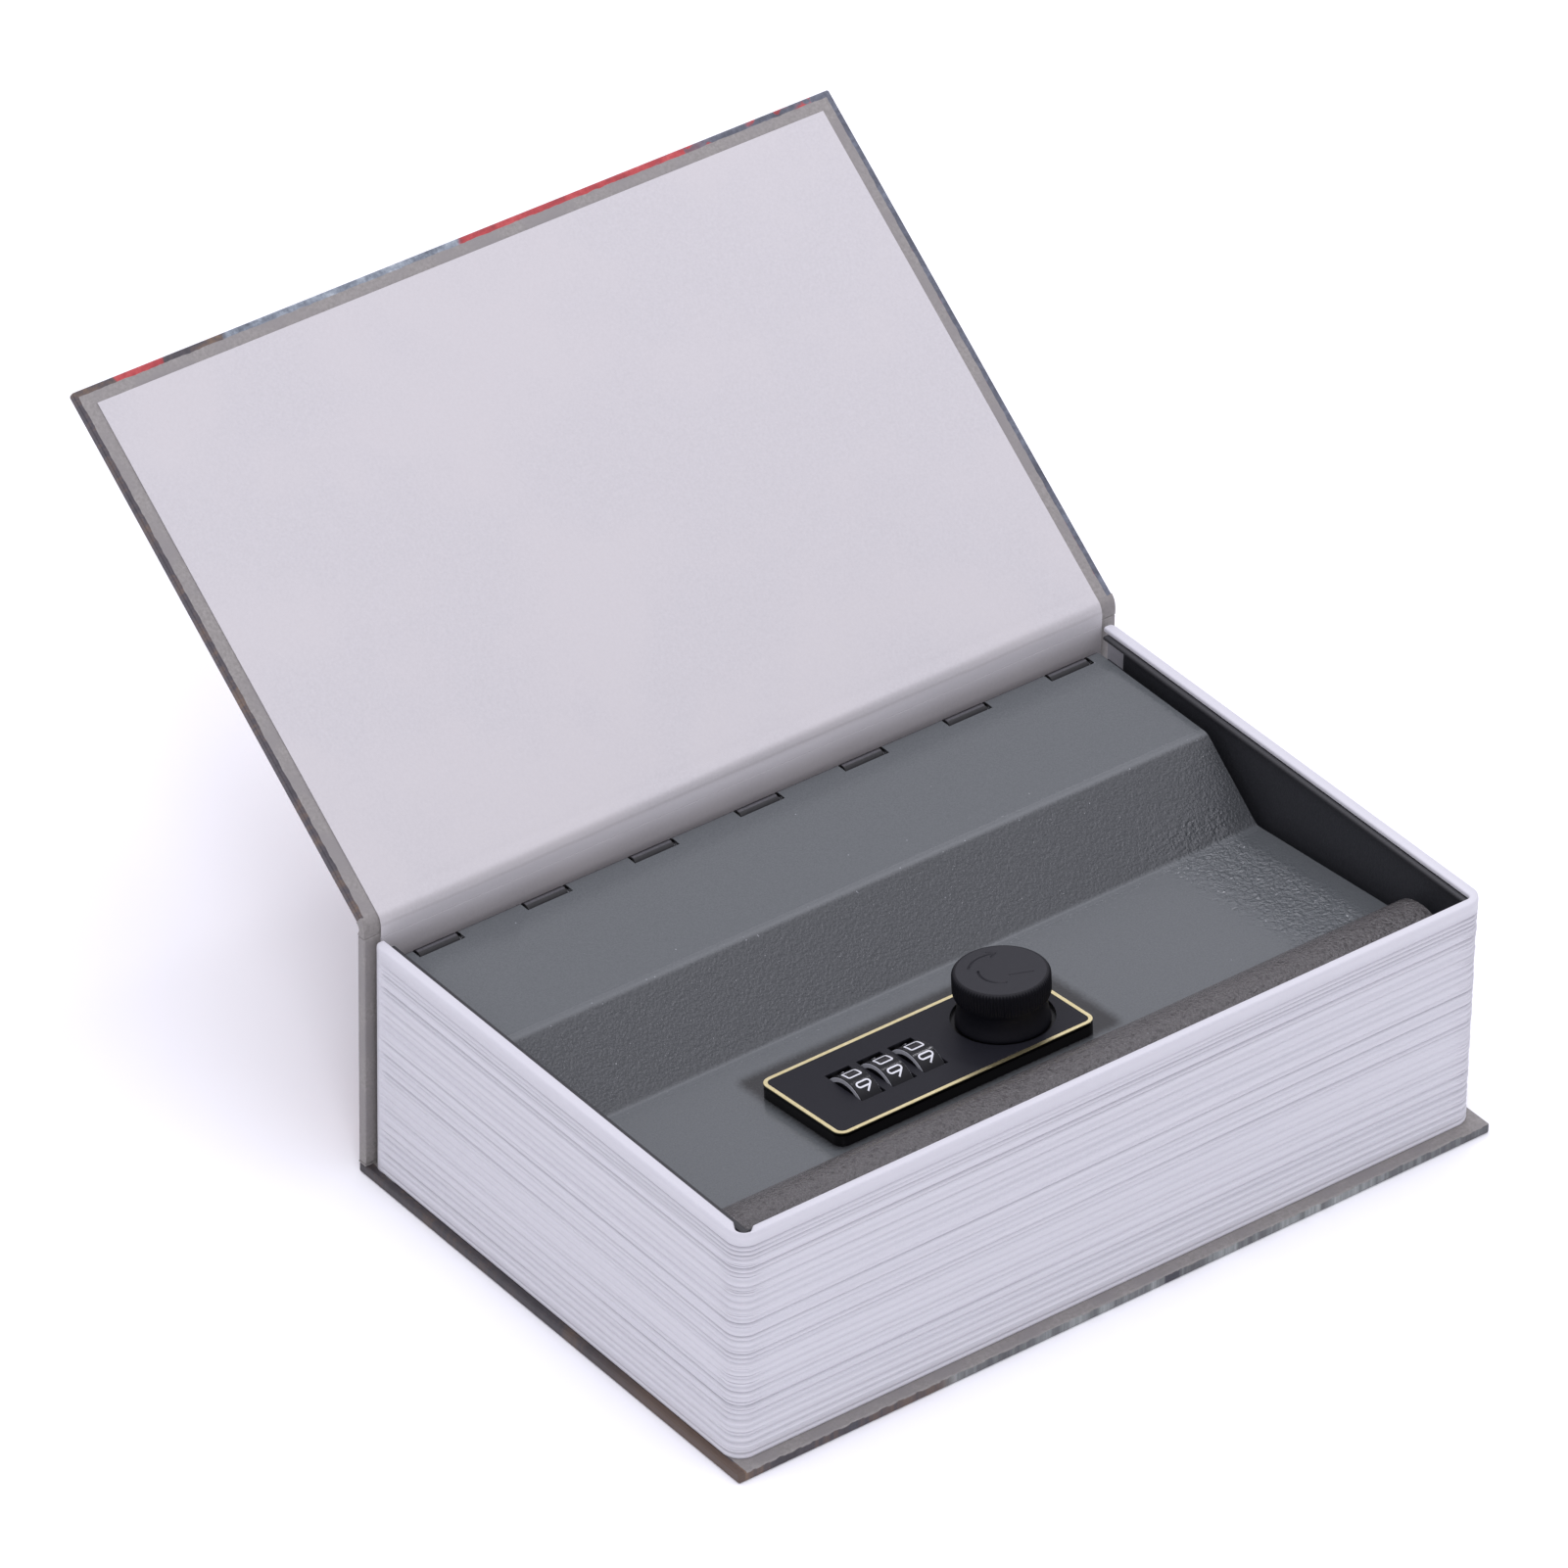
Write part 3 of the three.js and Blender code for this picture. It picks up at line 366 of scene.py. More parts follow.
def paper_finish(name, base, spread):
    """Pale paper with painted shade low at the hinge and along two crease lines, and a painted lighter
    band above the hinge.
    """
    finish = Finish(name, roughness=0.72)
    fine = finish.noise(finish.place, 1.7, 4, 0.7)
    broad = finish.noise(finish.place, 0.035, 3)
    dim = tuple(v - spread for v in base)
    shade = finish.between(fine, dim, base)
    warm = colour(base[0], base[1] - 1, base[2] - 2)
    base = finish.mix(finish.step(broad, 0.4, 0.62), shade, finish.mix(0.5, shade, warm))
    _, y, z = finish.parts(finish.place)
    at_hinge = finish.step(y, 58.9, 58.2)
    # Painted light: a lighter band on the paper's bend just above the hinge.
    high = finish.times(finish.step(z, 51.0, 55.0), finish.step(z, 58.0, 56.0))
    high = finish.times(high, at_hinge)
    base = finish.mix(finish.times(high, 0.6), base, colour(202, 199, 202))
    # Painted shade: darker down the lining towards the lid, by the hinge.
    low = finish.times(finish.step(z, 56.5, 49.0), at_hinge)
    base = finish.mix(finish.times(low, 0.42), base, colour(112, 105, 104))
    # Painted shade along two crease lines across the bend.
    bent = finish.plus(z, finish.times(finish.noise(finish.place, 0.06, 2), 0.9))
    line = finish.step(finish.apart(bent, 57.7), 0.5, 0.05)
    second = finish.step(finish.apart(bent, 59.0), 0.9, 0.1)
    lines = finish.plus(finish.times(line, 0.16), finish.times(second, 0.1))
    crease = finish.times(lines, finish.step(y, 58.6, 58.2))
    finish.paint(finish.mix(crease, base, colour(120, 112, 112)))
    grain = finish.noise(finish.place, 3.2, 5, 0.65)
    finish.bump(grain, 0.035, 0.6)
    return finish.material


def plastic_finish():
    """White plastic in faint layers, with painted shade in the grooves between the ridges."""
    finish = Finish("moulded_pages", roughness=0.42)
    finish.set("IOR", 1.46)
    x, y, z = finish.parts(finish.place)
    stripes = finish.joined(finish.times(x, 0.012), finish.times(y, 0.012), z)
    lines = finish.noise(stripes, 0.9, 2, 0.5)
    base = finish.between(lines, (189, 188, 194), (198, 197, 202))
    speck = finish.noise(finish.place, 2.5, 2)
    base = finish.mix(finish.step(speck, 0.35, 0.75), base, colour(195, 194, 199))
    # Painted shade: greyer the deeper a point lies below the outer face, so darkest in the grooves.
    side = finish.larger(finish.minus(finish.math("ABSOLUTE", x), PAGES_HALF - PAGES_RADIUS), 0)
    front = finish.larger(finish.minus(PAGES_FRONT + PAGES_RADIUS, y), 0)
    depth = finish.minus(PAGES_RADIUS, finish.vector("LENGTH", finish.joined(side, front, 0)))
    groove = finish.times(finish.step(depth, 0.08, 0.45), finish.step(z, 53.5, 53.2))
    finish.paint(finish.mix(finish.times(groove, 0.1), base, colour(142, 140, 149)))
    finish.bump(finish.noise(finish.place, 4, 2), 0.02, 0.6)
    finish.set("Subsurface Weight", 0.08)
    finish.set("Subsurface Radius", (0.6, 0.55, 0.6))
    finish.set("Subsurface Scale", 0.001)
    return finish.material


def hammered(finish, coarse=1.0):
    """Height of a hammered coat: round pits and swells about a millimetre apart."""
    warp = finish.vector("ADD", finish.place, finish.vector("SCALE", finish.joined(
        finish.noise(finish.place, 0.8, 1), finish.noise(finish.place, 0.9, 1), 0), scale=1.2))
    pits = finish.cells(warp, 1.15 * coarse, "SMOOTH_F1")
    swell = finish.noise(finish.place, 1.9 * coarse, 3, 0.55)
    return finish.plus(finish.times(pits, 0.5), swell)


def lid_finish():
    """Hammered grey coat with painted shade on the slope, a painted warm reflection and pit shade on the
    front bead, a painted shadow round the lock and painted shade in the hinge slots.
    """
    finish = Finish("hammered_grey", roughness=0.3)
    slope_top, slope_foot = 20.7, 5.0
    x, y, z = finish.parts(finish.place)
    fine = finish.noise(finish.place, 3.5, 3, 0.6)
    flat = finish.between(fine, (80, 83, 85), (90, 93, 95))
    # Painted shade: the slope takes a darker copy of the same coat.
    slope = finish.between(fine, (57, 59, 61), (75, 77, 79))
    # Painted reflection: a warmer copy of the coat for the front bead.
    warm = finish.between(fine, (72, 69, 69), (98, 95, 95))
    tilted = finish.times(finish.step(y, slope_top + 0.5, slope_top - 0.5),
                          finish.step(y, slope_foot - 0.6, slope_foot + 0.6))
    bead = finish.step(y, -33.5, -35.5)
    # Painted shade in the pits of the bead's coat.
    pits = finish.step(finish.cells(finish.place, 0.75, "SMOOTH_F1"), 0.36, 0.16)
    warm = finish.mix(finish.times(pits, 0.4), warm, colour(44, 41, 41))
    base = finish.mix(bead, finish.mix(tilted, flat, slope), warm)
    # Painted shadow of the lock plate, reaching further to its right and rear, with a ragged edge.
    u = finish.apart(x, LOCK_ORIGIN.x + 2.6)
    v = finish.apart(y, LOCK_ORIGIN.y + 2.9)
    off_u = finish.larger(finish.minus(u, 31.5), 0)
    off_v = finish.larger(finish.minus(v, 13.6), 0)
    off = finish.vector("LENGTH", finish.joined(off_u, off_v, 0))
    ragged = finish.plus(off, finish.times(finish.noise(finish.place, 1.3, 3), 1.2))
    plate_shadow = finish.times(finish.step(ragged, 4.4, 1.2), 0.9)
    base = finish.mix(plate_shadow, base, colour(16, 14, 14))
    # Painted shade in the slots round the hinge knuckles.
    slot = finish.times(finish.step(y, 50.9, 51.0), finish.step(z, 50.3, 50.2))
    base = finish.mix(slot, base, colour(20, 19, 21))
    flake = finish.cells(finish.place, 1.1)
    size = finish.parts(finish.cells(finish.place, 1.1, output=1))[0]
    bend = finish.apart(y, slope_top)
    often = finish.plus(0.9965, finish.times(finish.step(bend, 0.9, 0.4), -0.2))
    speck = finish.times(finish.math("GREATER_THAN", size, often), finish.step(flake, 0.2, 0.08))
    finish.paint(finish.mix(finish.times(speck, 0.5), base, colour(176, 178, 184)))
    foot = finish.apart(y, slope_foot)
    dull = finish.times(finish.step(finish.math("MINIMUM", bend, foot), 2.2, 1.2), 0.3)
    gloss = finish.plus(finish.times(fine, 0.05), 0.12)
    finish.set("Roughness", finish.plus(gloss, dull))
    rough = finish.plus(finish.times(tilted, 0.45), finish.times(bead, 1.6))
    flow = finish.noise(finish.place, 0.95, 2, 0.5, 0.5)
    ripple = finish.times(finish.step(x, 56, 68), finish.step(x, 81.5, 76))
    ripple = finish.times(ripple, finish.step(y, 14, 4))
    coarse = finish.times(hammered(finish), finish.plus(0.12, rough))
    coarse = finish.plus(coarse, finish.times(flow, finish.times(ripple, 1.7)))
    finish.bump(coarse, 0.34, 1.0)
    return finish.material


def tray_finish():
    """Dark coat on the walls, the lid's grey on the knuckles, with painted shade on their lower part in
    the slots.
    """
    finish = Finish("tray_coat", roughness=0.5, metallic=0.2)
    fine = finish.noise(finish.place, 3.5, 3, 0.6)
    walls = finish.between(fine, (44, 45, 49), (56, 57, 61))
    _, y, z = finish.parts(finish.place)
    off = finish.vector("DISTANCE", finish.joined(0, y, z), LID_AXIS)
    rolls = finish.between(fine, (80, 79, 84), (110, 108, 113))
    # Painted shade on the knuckles' lower part, down in the slots.
    rolls = finish.mix(finish.step(z, 50.45, 50.3), rolls, colour(20, 19, 21))
    finish.paint(finish.mix(finish.step(off, 1.9, 1.75), walls, rolls))
    finish.bump(hammered(finish, 1.3), 0.08, 0.7)
    return finish.material


def metal_finish(name, low, high, roughness, scale=(0.4, 6, 6)):
    """Bare metal with fine streaks, or an even grain where the scale is the same each way."""
    finish = Finish(name, metallic=1.0, roughness=roughness)
    stretched = finish.vector("MULTIPLY", finish.place, scale)
    streaks = finish.noise(stretched, 1.4, 4, 0.6)
    finish.paint(finish.between(streaks, low, high))
    finish.set("Roughness", finish.plus(finish.times(streaks, 0.18), roughness - 0.09))
    finish.bump(streaks, 0.012, 0.5)
    return finish.material


def coated_finish(name, low, high, roughness, grain, depth, shine=0.5):
    """Plain coated or moulded surface with a fine grain."""
    finish = Finish(name, roughness=roughness)
    fine = finish.noise(finish.place, grain, 3, 0.6)
    finish.paint(finish.between(fine, low, high))
    finish.set("Roughness", finish.plus(finish.times(fine, 0.14), roughness - 0.07))
    finish.bump(fine, depth, 0.6)
    finish.set("Specular IOR Level", shine)
    return finish.material


def over_lock(finish):
    """Height out of the tilted lock plate, in mm."""
    _, y, z = finish.parts(finish.place)
    return finish.plus(finish.times(finish.minus(y, LOCK_ORIGIN.y), ALONG_H.y),
                       finish.times(finish.minus(z, LOCK_ORIGIN.z), ALONG_H.z))


def plate_finish():
    """Satin black on top, glossier on the sides."""
    finish = Finish("plate_black", roughness=0.4)
    top = finish.step(over_lock(finish), 2.5, 2.7)
    fine = finish.noise(finish.place, 5, 3, 0.6)
    satin = finish.between(fine, (20, 20, 25), (29, 29, 35))
    finish.set("Specular IOR Level", 0.16)
    finish.paint(finish.mix(top, colour(10, 9, 10), satin))
    finish.set("Roughness", finish.plus(finish.times(top, 0.14), 0.3))
    finish.bump(fine, 0.012, 0.5)
    return finish.material


def gold_finish():
    """Gold on top, black down the outer side."""
    finish = Finish("gold_line", metallic=1.0, roughness=0.3)
    fine = finish.noise(finish.place, 1.4, 4, 0.6)
    gold = finish.between(fine, (232, 216, 160), (246, 234, 190))
    top = finish.step(over_lock(finish), 2.78, 2.86)
    finish.paint(finish.mix(top, colour(12, 11, 11), gold))
    finish.bump(fine, 0.01, 0.4)
    return finish.material


def wheel_finish(wheel, u):
    """Gloss black barrel, the rims of its two side faces a light grey."""
    finish = Finish(f"wheel_gloss_{wheel}", roughness=0.16)
    x, y, z = finish.parts(finish.place)
    off = finish.apart(x, LOCK_ORIGIN.x + u)
    axle = on_lock(0, 0, WHEEL_AXLE)
    reach = finish.vector("DISTANCE", finish.joined(0, y, z), (0, axle.y, axle.z))
    fine = finish.noise(finish.place, 6, 3)
    side = finish.times(finish.step(off, 2.42, 2.47), finish.step(reach, 5.75, 5.85))
    black = finish.between(fine, (9, 9, 12), (16, 16, 20))
    finish.set("Specular IOR Level", 0.25)
    grey = finish.between(fine, (146, 147, 152), (168, 169, 174))
    finish.paint(finish.mix(side, black, grey))
    finish.set("Roughness", finish.plus(finish.times(side, 0.3), 0.16))
    finish.bump(fine, 0.006, 0.4)
    return finish.material


# Meshes

def add_object(name, vertices, faces, material, smooth=True):
    """A mesh from points in millimetres, with its faces turned outwards."""
    mesh = bpy.data.meshes.new(name)
    mesh.from_pydata([tuple(c * MM for c in v) for v in vertices], [], faces)
    made = bmesh.new()
    made.from_mesh(mesh)
    bmesh.ops.remove_doubles(made, verts=made.verts, dist=1e-7)
    bmesh.ops.recalc_face_normals(made, faces=made.faces)
    made.to_mesh(mesh)
    made.free()
    mesh.polygons.foreach_set("use_smooth", [smooth] * len(mesh.polygons))
    mesh.materials.append(material)
    obj = bpy.data.objects.new(name, mesh)
    bpy.context.scene.collection.objects.link(obj)
    return obj


def sharpen(obj, angle=35):
    """Edges sharper than the angle stay sharp on a smooth-shaded mesh."""
    made = bmesh.new()
    made.from_mesh(obj.data)
    for edge in made.edges:
        if len(edge.link_faces) == 2 and edge.calc_face_angle() > math.radians(angle):
            edge.smooth = False
    made.to_mesh(obj.data)
    made.free()


def dress(node, material, bevel=0.0, segments=2):
    """Gives a CAD node its material, smooth rounds and softened edges. Its vertices stay as they are."""
    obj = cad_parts[node]
    for slot in obj.material_slots:
        slot.material = material
    custom = obj.data.attributes.get("custom_normal")
    if custom:
        obj.data.attributes.remove(custom)
    obj.data.polygons.foreach_set("use_smooth", [True] * len(obj.data.polygons))
    weld = obj.modifiers.new("weld", "WELD")
    weld.merge_threshold = 2e-6
    flat = obj.modifiers.new("flat", "DECIMATE")
    flat.decimate_type = "DISSOLVE"
    flat.angle_limit = math.radians(0.5)
    if bevel:
        soft = obj.modifiers.new("soft", "BEVEL")
        soft.width = bevel * MM
        soft.segments = segments
        soft.limit_method = "ANGLE"
        soft.angle_limit = math.radians(32)
        soft.harden_normals = True
    else:
        split = obj.modifiers.new("split", "EDGE_SPLIT")
        split.split_angle = math.radians(32)


def grid_faces(rows, columns, closed_rows=False, closed_columns=False):
    """Quads between rows x columns points, numbered row by row."""
    faces = []
    for i in range(rows if closed_rows else rows - 1):
        for j in range(columns if closed_columns else columns - 1):
            a, b = i * columns + j, i * columns + (j + 1) % columns
            c, d = (i + 1) % rows * columns + (j + 1) % columns, (i + 1) % rows * columns + j
            faces.append((a, b, c, d))
    return faces


# False page edges

def wander(places, seed, scale):
    """Smooth seeded noise along a line of places, about -1 to 1."""
    rng = random.Random(seed)
    total = np.zeros(len(places))
    for _ in range(5):
        wave = scale * rng.uniform(0.5, 2.2)
        total += math.cos(rng.uniform(0, 6)) * np.sin(places / wave * 2 * math.pi + rng.uniform(0, 6.3))
    return total / 2.2


def spaced(start, end, count):
    """Stations from start to end, close together at both ends."""
    return start + (end - start) * (0.5 - 0.5 * np.cos(np.linspace(0, math.pi, count)))


def page_outline(half, front, radius, back=55.8, straight=(70, 110), bend=20):
    """Stations down the left wall, round the front and up the right wall, as (x, y). straight gives
    their number along a side wall and along the front, bend how many spans go round a corner."""
    def corner(x, start):
        turns = [start + math.pi / 2 * step / bend for step in range(1, bend)]
        return [(x + radius * math.cos(a), front + radius + radius * math.sin(a)) for a in turns]

    points = [(-half, y) for y in spaced(back, front + radius, straight[0])]
    points += corner(-half + radius, math.pi)
    points += [(x, front) for x in spaced(-half + radius, half - radius, straight[1])]
    points += corner(half - radius, 1.5 * math.pi)
    points += [(half, y) for y in spaced(front + radius, back, straight[0])]
    return np.array(points)


def page_grooves(along, corner, foot, top):
    """Grooves between bundles of pages: height, reach below and above, depth of the bundles under and
    over it, and its own depth along the wall. Some fade in and out, and the finest ones show only
    round the corners."""
    rng = random.Random(11)
    reach = 0.45
    levels = [foot + 0.85, foot + 3.0]
    while levels[-1] < top - 4.0:
        levels.append(levels[-1] + rng.choice((1.0, 1.2, 1.4, 1.6, 2.0)))
    found = []
    before = 0.0
    for i, level in enumerate(levels):
        gap = levels[i + 1] - level if i + 1 < len(levels) else 1.3
        behind = 0.0 if i in (0, len(levels) - 1) else rng.uniform(0.0, 0.16)
        deep = rng.uniform(0.22, 0.5) if i else 0.22
        strength = np.clip(0.9 + 0.22 * wander(along, 300 + i, 140), 0.45, 1.25)
        above = min(rng.uniform(0.6, 0.95), 0.5 * gap)
        found.append((level, reach, above, (before, behind), deep * (strength + 0.5 * corner)))
        room = gap - above - reach
        fine = int(room / 0.42)
        for k in range(fine):
            middle = level + above + room * (k + 0.5) / fine
            faint = 0.012 + 0.01 * wander(along, 600 + 7 * i + k, 240)
            found.append((middle, 0.16, 0.19, (behind, behind), faint + rng.uniform(0.1, 0.28) * corner))
        before = behind
    return found


def notched(outline):
    """The outline with a round notch towards its front left corner."""
    centre, outwards, across = np.array([-85.95, -54.1]), np.array([-0.66, -0.75]), np.array([0.75, -0.66])
    half_width, deepest = 1.55, 1.4
    away = outline - centre
    aside, out = away @ across, away @ outwards
    reach = deepest * np.sqrt(np.clip(1 - (aside / half_width) ** 2, 0, 1))
    inside = (np.abs(aside) < half_width) & (out > -2.5) & (out < reach)
    moved = centre + np.outer(aside, across) + np.outer(reach, outwards)
    return np.where(inside[:, None], moved, outline)


def level_ring(outline, z):
    """The outline as points at one height."""
    return np.column_stack([outline, np.full(len(outline), z)])


def end_faces(rings, columns):
    """One face across each end of a row of rings that lie columns points apart."""
    first = tuple(i * columns for i in range(rings))
    return [first, tuple(i + columns - 1 for i in reversed(first))]


def make_pages():
    """Ridged wall of false page edges with a lip over the tray's rim, notched at one corner."""
    outer = page_outline(PAGES_HALF, PAGES_FRONT, PAGES_RADIUS)
    inner = page_outline(87.3, -55.0, 1.7)
    lip = notched(page_outline(86.2, -54.35, 0.9))
    steps = np.linalg.norm(np.diff(outer, axis=0), axis=1)
    along = np.concatenate([[0], np.cumsum(steps)])
    normal = np.gradient(outer, axis=0)
    normal = np.stack([-normal[:, 1], normal[:, 0]], 1)
    normal /= np.linalg.norm(normal, axis=1)[:, None]
    towards = outer - outer.mean(0)
    normal *= np.where((normal * towards).sum(1) < 0, -1, 1)[:, None]
    foot, top = 2.2, 54.4
    length, corner_at = along[-1], 111.3
    corner = np.exp(-((along - corner_at) / 4.5) ** 2)
    corner += np.exp(-((along - length + corner_at) / 4.5) ** 2)
    to_end = np.minimum(along, length - along)
    calm = np.clip((to_end - 0.6) / 2.6, 0, 1)
    calm = calm * calm * (3 - 2 * calm)
    rounding = 0.75 * (1 - np.sqrt(1 - np.clip(1 - to_end / 1.6, 0, 1) ** 2))
    sway = 0.12 * wander(along, 100, 160)
    rings = []

    def add_ring(height, depth):
        waver = 0.14 * np.sin(height / 9 + along / 90) + sway
        waver = waver * min(1, (height - foot) / 5) * min(1, (top - height) / 7)
        ring = outer - normal * (np.clip(depth, 0, 0.7) * calm + rounding)[:, None]
        rings.append(np.column_stack([ring, height + waver]))

    add_ring(foot, 0.12)
    add_ring(foot + 0.12, 0.03)
    add_ring(foot + 0.3, 0.0)
    groove = [(-1.0, 0.0), (-0.72, 0.13), (-0.36, 0.6), (0.0, 1.0), (0.3, 0.84), (0.65, 0.32), (1.0, 0.0)]
    for level, below, above, band, depth in page_grooves(along, corner, foot, top):
        for place, share in groove:
            height = level + place * (below if place < 0 else above)
            add_ring(height, band[0 if place <= 0 else 1] + depth * share)
    add_ring(top - 1.0, 0.0)
    crest = [(0.0, -0.7), (0.03, -0.45), (0.12, -0.22), (0.28, -0.07), (0.5, 0.0), (1.2, 0.0), (1.9, 0.0)]
    crest += [(2.12, -0.04), (2.27, -0.13), (2.36, -0.28), (2.4, -0.5), (2.4, -0.85)]
    for depth, drop in crest:
        share = depth / crest[-1][0]
        start = outer - normal * (rounding * (1 - share))[:, None]
        rings.append(level_ring(start + (lip - start) * share, top + drop))
    rings += [level_ring(notched(inner), z) for z in (top - 0.95, top - 1.5)]
    rings += [level_ring(inner, z) for z in (top - 1.52, *np.linspace(top - 3, foot, 8))]
    faces = grid_faces(len(rings), len(along), closed_rows=True) + end_faces(len(rings), len(along))
    obj = add_object("ridged_pages", np.concatenate(rings).tolist(), faces, plastic_finish())
    sharpen(obj, 60)
    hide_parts("page_block")
    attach(obj, "book")


def make_rim(material):
    """Thin dark edge of the tray just inside the lip."""
    wide = page_outline(86.3, -54.45, 1.0, 54.4, (60, 90), 8)
    narrow = page_outline(84.9, -53.8, 0.5, 54.4, (60, 90), 8)
    profile = [(0, 52.9), (0, 53.35), (0.3, 53.5), (0.8, 53.48), (1, 53.3), (1, 52.9)]
    rings = [level_ring(wide + (narrow - wide) * share, z) for share, z in profile]
    faces = grid_faces(len(rings), len(wide), closed_rows=True) + end_faces(len(rings), len(wide))
    obj = add_object("tray_edge", np.concatenate(rings).tolist(), faces, material)
    sharpen(obj, 60)
    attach(obj, "book")


# Paper at the cover's joint, and the sheet inside the cover

def strip(name, pairs, half, material, columns=60):
    """Closed strip along X from pairs of an inner and an outer point, each as (y, z)."""
    xs = np.linspace(-half, half, columns)
    loop = [inner for inner, _ in pairs] + [outer for _, outer in reversed(pairs)]
    vertices = [(x, y, z) for y, z in loop for x in xs]
    faces = grid_faces(len(loop), columns, closed_rows=True)
    count = len(pairs)
    for j in (0, columns - 1):
        for i in range(count - 1):
            a, b = i, i + 1
            c, d = 2 * count - 2 - i, 2 * count - 1 - i
            faces.append(tuple(k * columns + j for k in (a, b, c, d)))
    return add_object(name, vertices, faces, material)


def curve(a, b, c, d, count):
    """Points of a cubic curve."""
    made = []
    for i in range(count):
        t = i / (count - 1)
        made.append(tuple(
            (1 - t) ** 3 * p + 3 * t * (1 - t) ** 2 * q + 3 * t * t * (1 - t) * r + t ** 3 * s
            for p, q, r, s in zip(a, b, c, d)
        ))
    return made


def flat_point(y, z):
    """Where a point of the closed cover lies on the open one, as (y, z)."""
    point = on_cover(0, y, z)
    return point.y, point.z


def make_joint(taupe, paper):
    """Covering paper over the cover's joint, and the endpaper's fold inside it."""
    edge_in, edge_out = flat_point(-1.86, -1.93), flat_point(-1.86, -0.02)
    inner = curve((57.1, 55.3), (57.1, 56.6), flat_point(0.0, -1.93), edge_in, 11)
    outer = curve((59.1, 55.3), (59.1, 56.0), flat_point(0.1, -0.1), edge_out, 11)
    made = strip("joint_paper", list(zip(inner, outer)), HALF_LENGTH, taupe)
    made.data.materials.append(spine_finish("joint_outside", 0))
    for polygon in made.data.polygons:
        x, y, z = polygon.center / MM
        gap = min(math.hypot(a - y, b - z) for a, b in outer)
        if gap < 0.25 and abs(x) < HALF_LENGTH - 0.1:
            polygon.material_index = 1
    sharpen(made, 50)
    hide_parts("front_joint")
    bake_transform(made)
    inner = curve((56.62, 54.45), (56.6, 56.9), flat_point(0.1, -2.2), flat_point(-1.42, -2.19), 25)
    outer = curve((56.88, 54.45), (56.86, 56.8), flat_point(0.0, -2.02), flat_point(-1.42, -2.01), 25)
    made = strip("endpaper_bend", list(zip(inner, outer)), 86.3, paper, 120)
    for vertex in made.data.vertices:
        x, _, z = vertex.co / MM
        lift = 0.08 * math.sin(x / 23 + 1.3) * math.exp(-((z - 57.0) / 1.2) ** 2)
        vertex.co.y += lift * MM
    sharpen(made, 50)
    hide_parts("endpaper_fold")
    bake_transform(made)


def make_endpaper(paper):
    """Thin sheet with a shallow crease beside the hinge and a slight wave."""
    board_face, wave = -2.0, 0.012
    xs = np.linspace(-86.3, 86.3, 150)
    ys = np.concatenate([np.linspace(-1.4, -14, 90), np.linspace(-14.6, -112.5, 110)])
    thickness = 0.2 - 0.03 * np.exp(-((ys + 3.4) / 0.9) ** 2)
    upper, lower = [], []
    for y, thick in zip(ys, thickness):
        for x in xs:
            swell = wave * math.sin(x / 17 + 0.4) * math.sin(y / 13 + 1.0)
            upper.append(tuple(on_cover(x, y, board_face - thick + swell + wave)))
            lower.append(tuple(on_cover(x, y, board_face)))
    rows, columns = len(ys), len(xs)
    under = rows * columns
    faces = grid_faces(rows, columns)
    faces += [tuple(i + under for i in reversed(face)) for face in faces]
    rim = list(range(columns)) + [i * columns + columns - 1 for i in range(1, rows)]
    rim += [(rows - 1) * columns + j for j in range(columns - 2, -1, -1)]
    rim += [i * columns for i in range(rows - 2, 0, -1)]
    for a, b in zip(rim, rim[1:] + rim[:1]):
        faces.append((a, b, b + under, a + under))
    made = add_object("cover_endpaper", upper + lower, faces, paper)
    sharpen(made, 50)
    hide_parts("front_endpaper")
    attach(made, "cover")


# Numbers on the wheels, drawn as strokes

def arc(cx, cy, rx, ry, start, end, count=14):
    """Points of an elliptic arc between two angles in degrees."""
    angles = [math.radians(start + (end - start) * i / (count - 1)) for i in range(count)]
    return [(cx + rx * math.cos(a), cy + ry * math.sin(a)) for a in angles]


def digit_strokes():
    """Strokes of 0 to 9, and whether each is closed, in a box 2.94 wide and 2.3 high about the origin.
    w and h are half its sides, r and p the radii of tight and of wide bends."""
    w, h, r, p = 1.47, 1.15, 0.3, 0.58
    ring = arc(w - r, h - r, r, r, 0, 90, 5) + arc(-w + r, h - r, r, r, 90, 180, 5)
    ring += arc(-w + r, -h + r, r, r, 180, 270, 5) + arc(w - r, -h + r, r, r, 270, 360, 5)
    nine = arc(w - p, h - p, p, p, -90, 90, 12) + arc(-w + p, h - p, p, p, 90, 270, 12)
    six = [(-x, -y) for x, y in nine]
    five = [(w - 0.1, h), (-w + 0.2, h), (-w + 0.1, 0.25)] + arc(0, -h + 0.72, w, 0.72, 115, -150, 16)
    eight = arc(0, h - 0.54, w - 0.15, 0.54, 0, 345, 20), arc(0, -h + 0.6, w, 0.6, 0, 345, 22)
    return {
        0: [(ring, True)],
        1: [([(0.2, -h), (0.2, h), (-0.7, h - 0.5)], False)],
        2: [(arc(0, h - 0.6, w, 0.6, 160, -40) + [(-w, -h), (w, -h)], False)],
        3: [(arc(0, h - 0.55, w - 0.1, 0.55, 150, -80) + arc(0, -h + 0.6, w, 0.6, 75, -150), False)],
        4: [([(0.7, -h), (0.7, h), (-w, -0.4), (w, -0.4)], False)],
        5: [(five, False)],
        6: [(six, True), ([(-w + 0.1, -h + 0.9), (0.1, h)], False)],
        7: [([(-w, h), (w, h), (-0.4, -h)], False)],
        8: [(eight[0], True), (eight[1], True)],
        9: [(nine, True), ([(w - 0.1, h - 0.9), (-0.1, -h)], False)],
    }


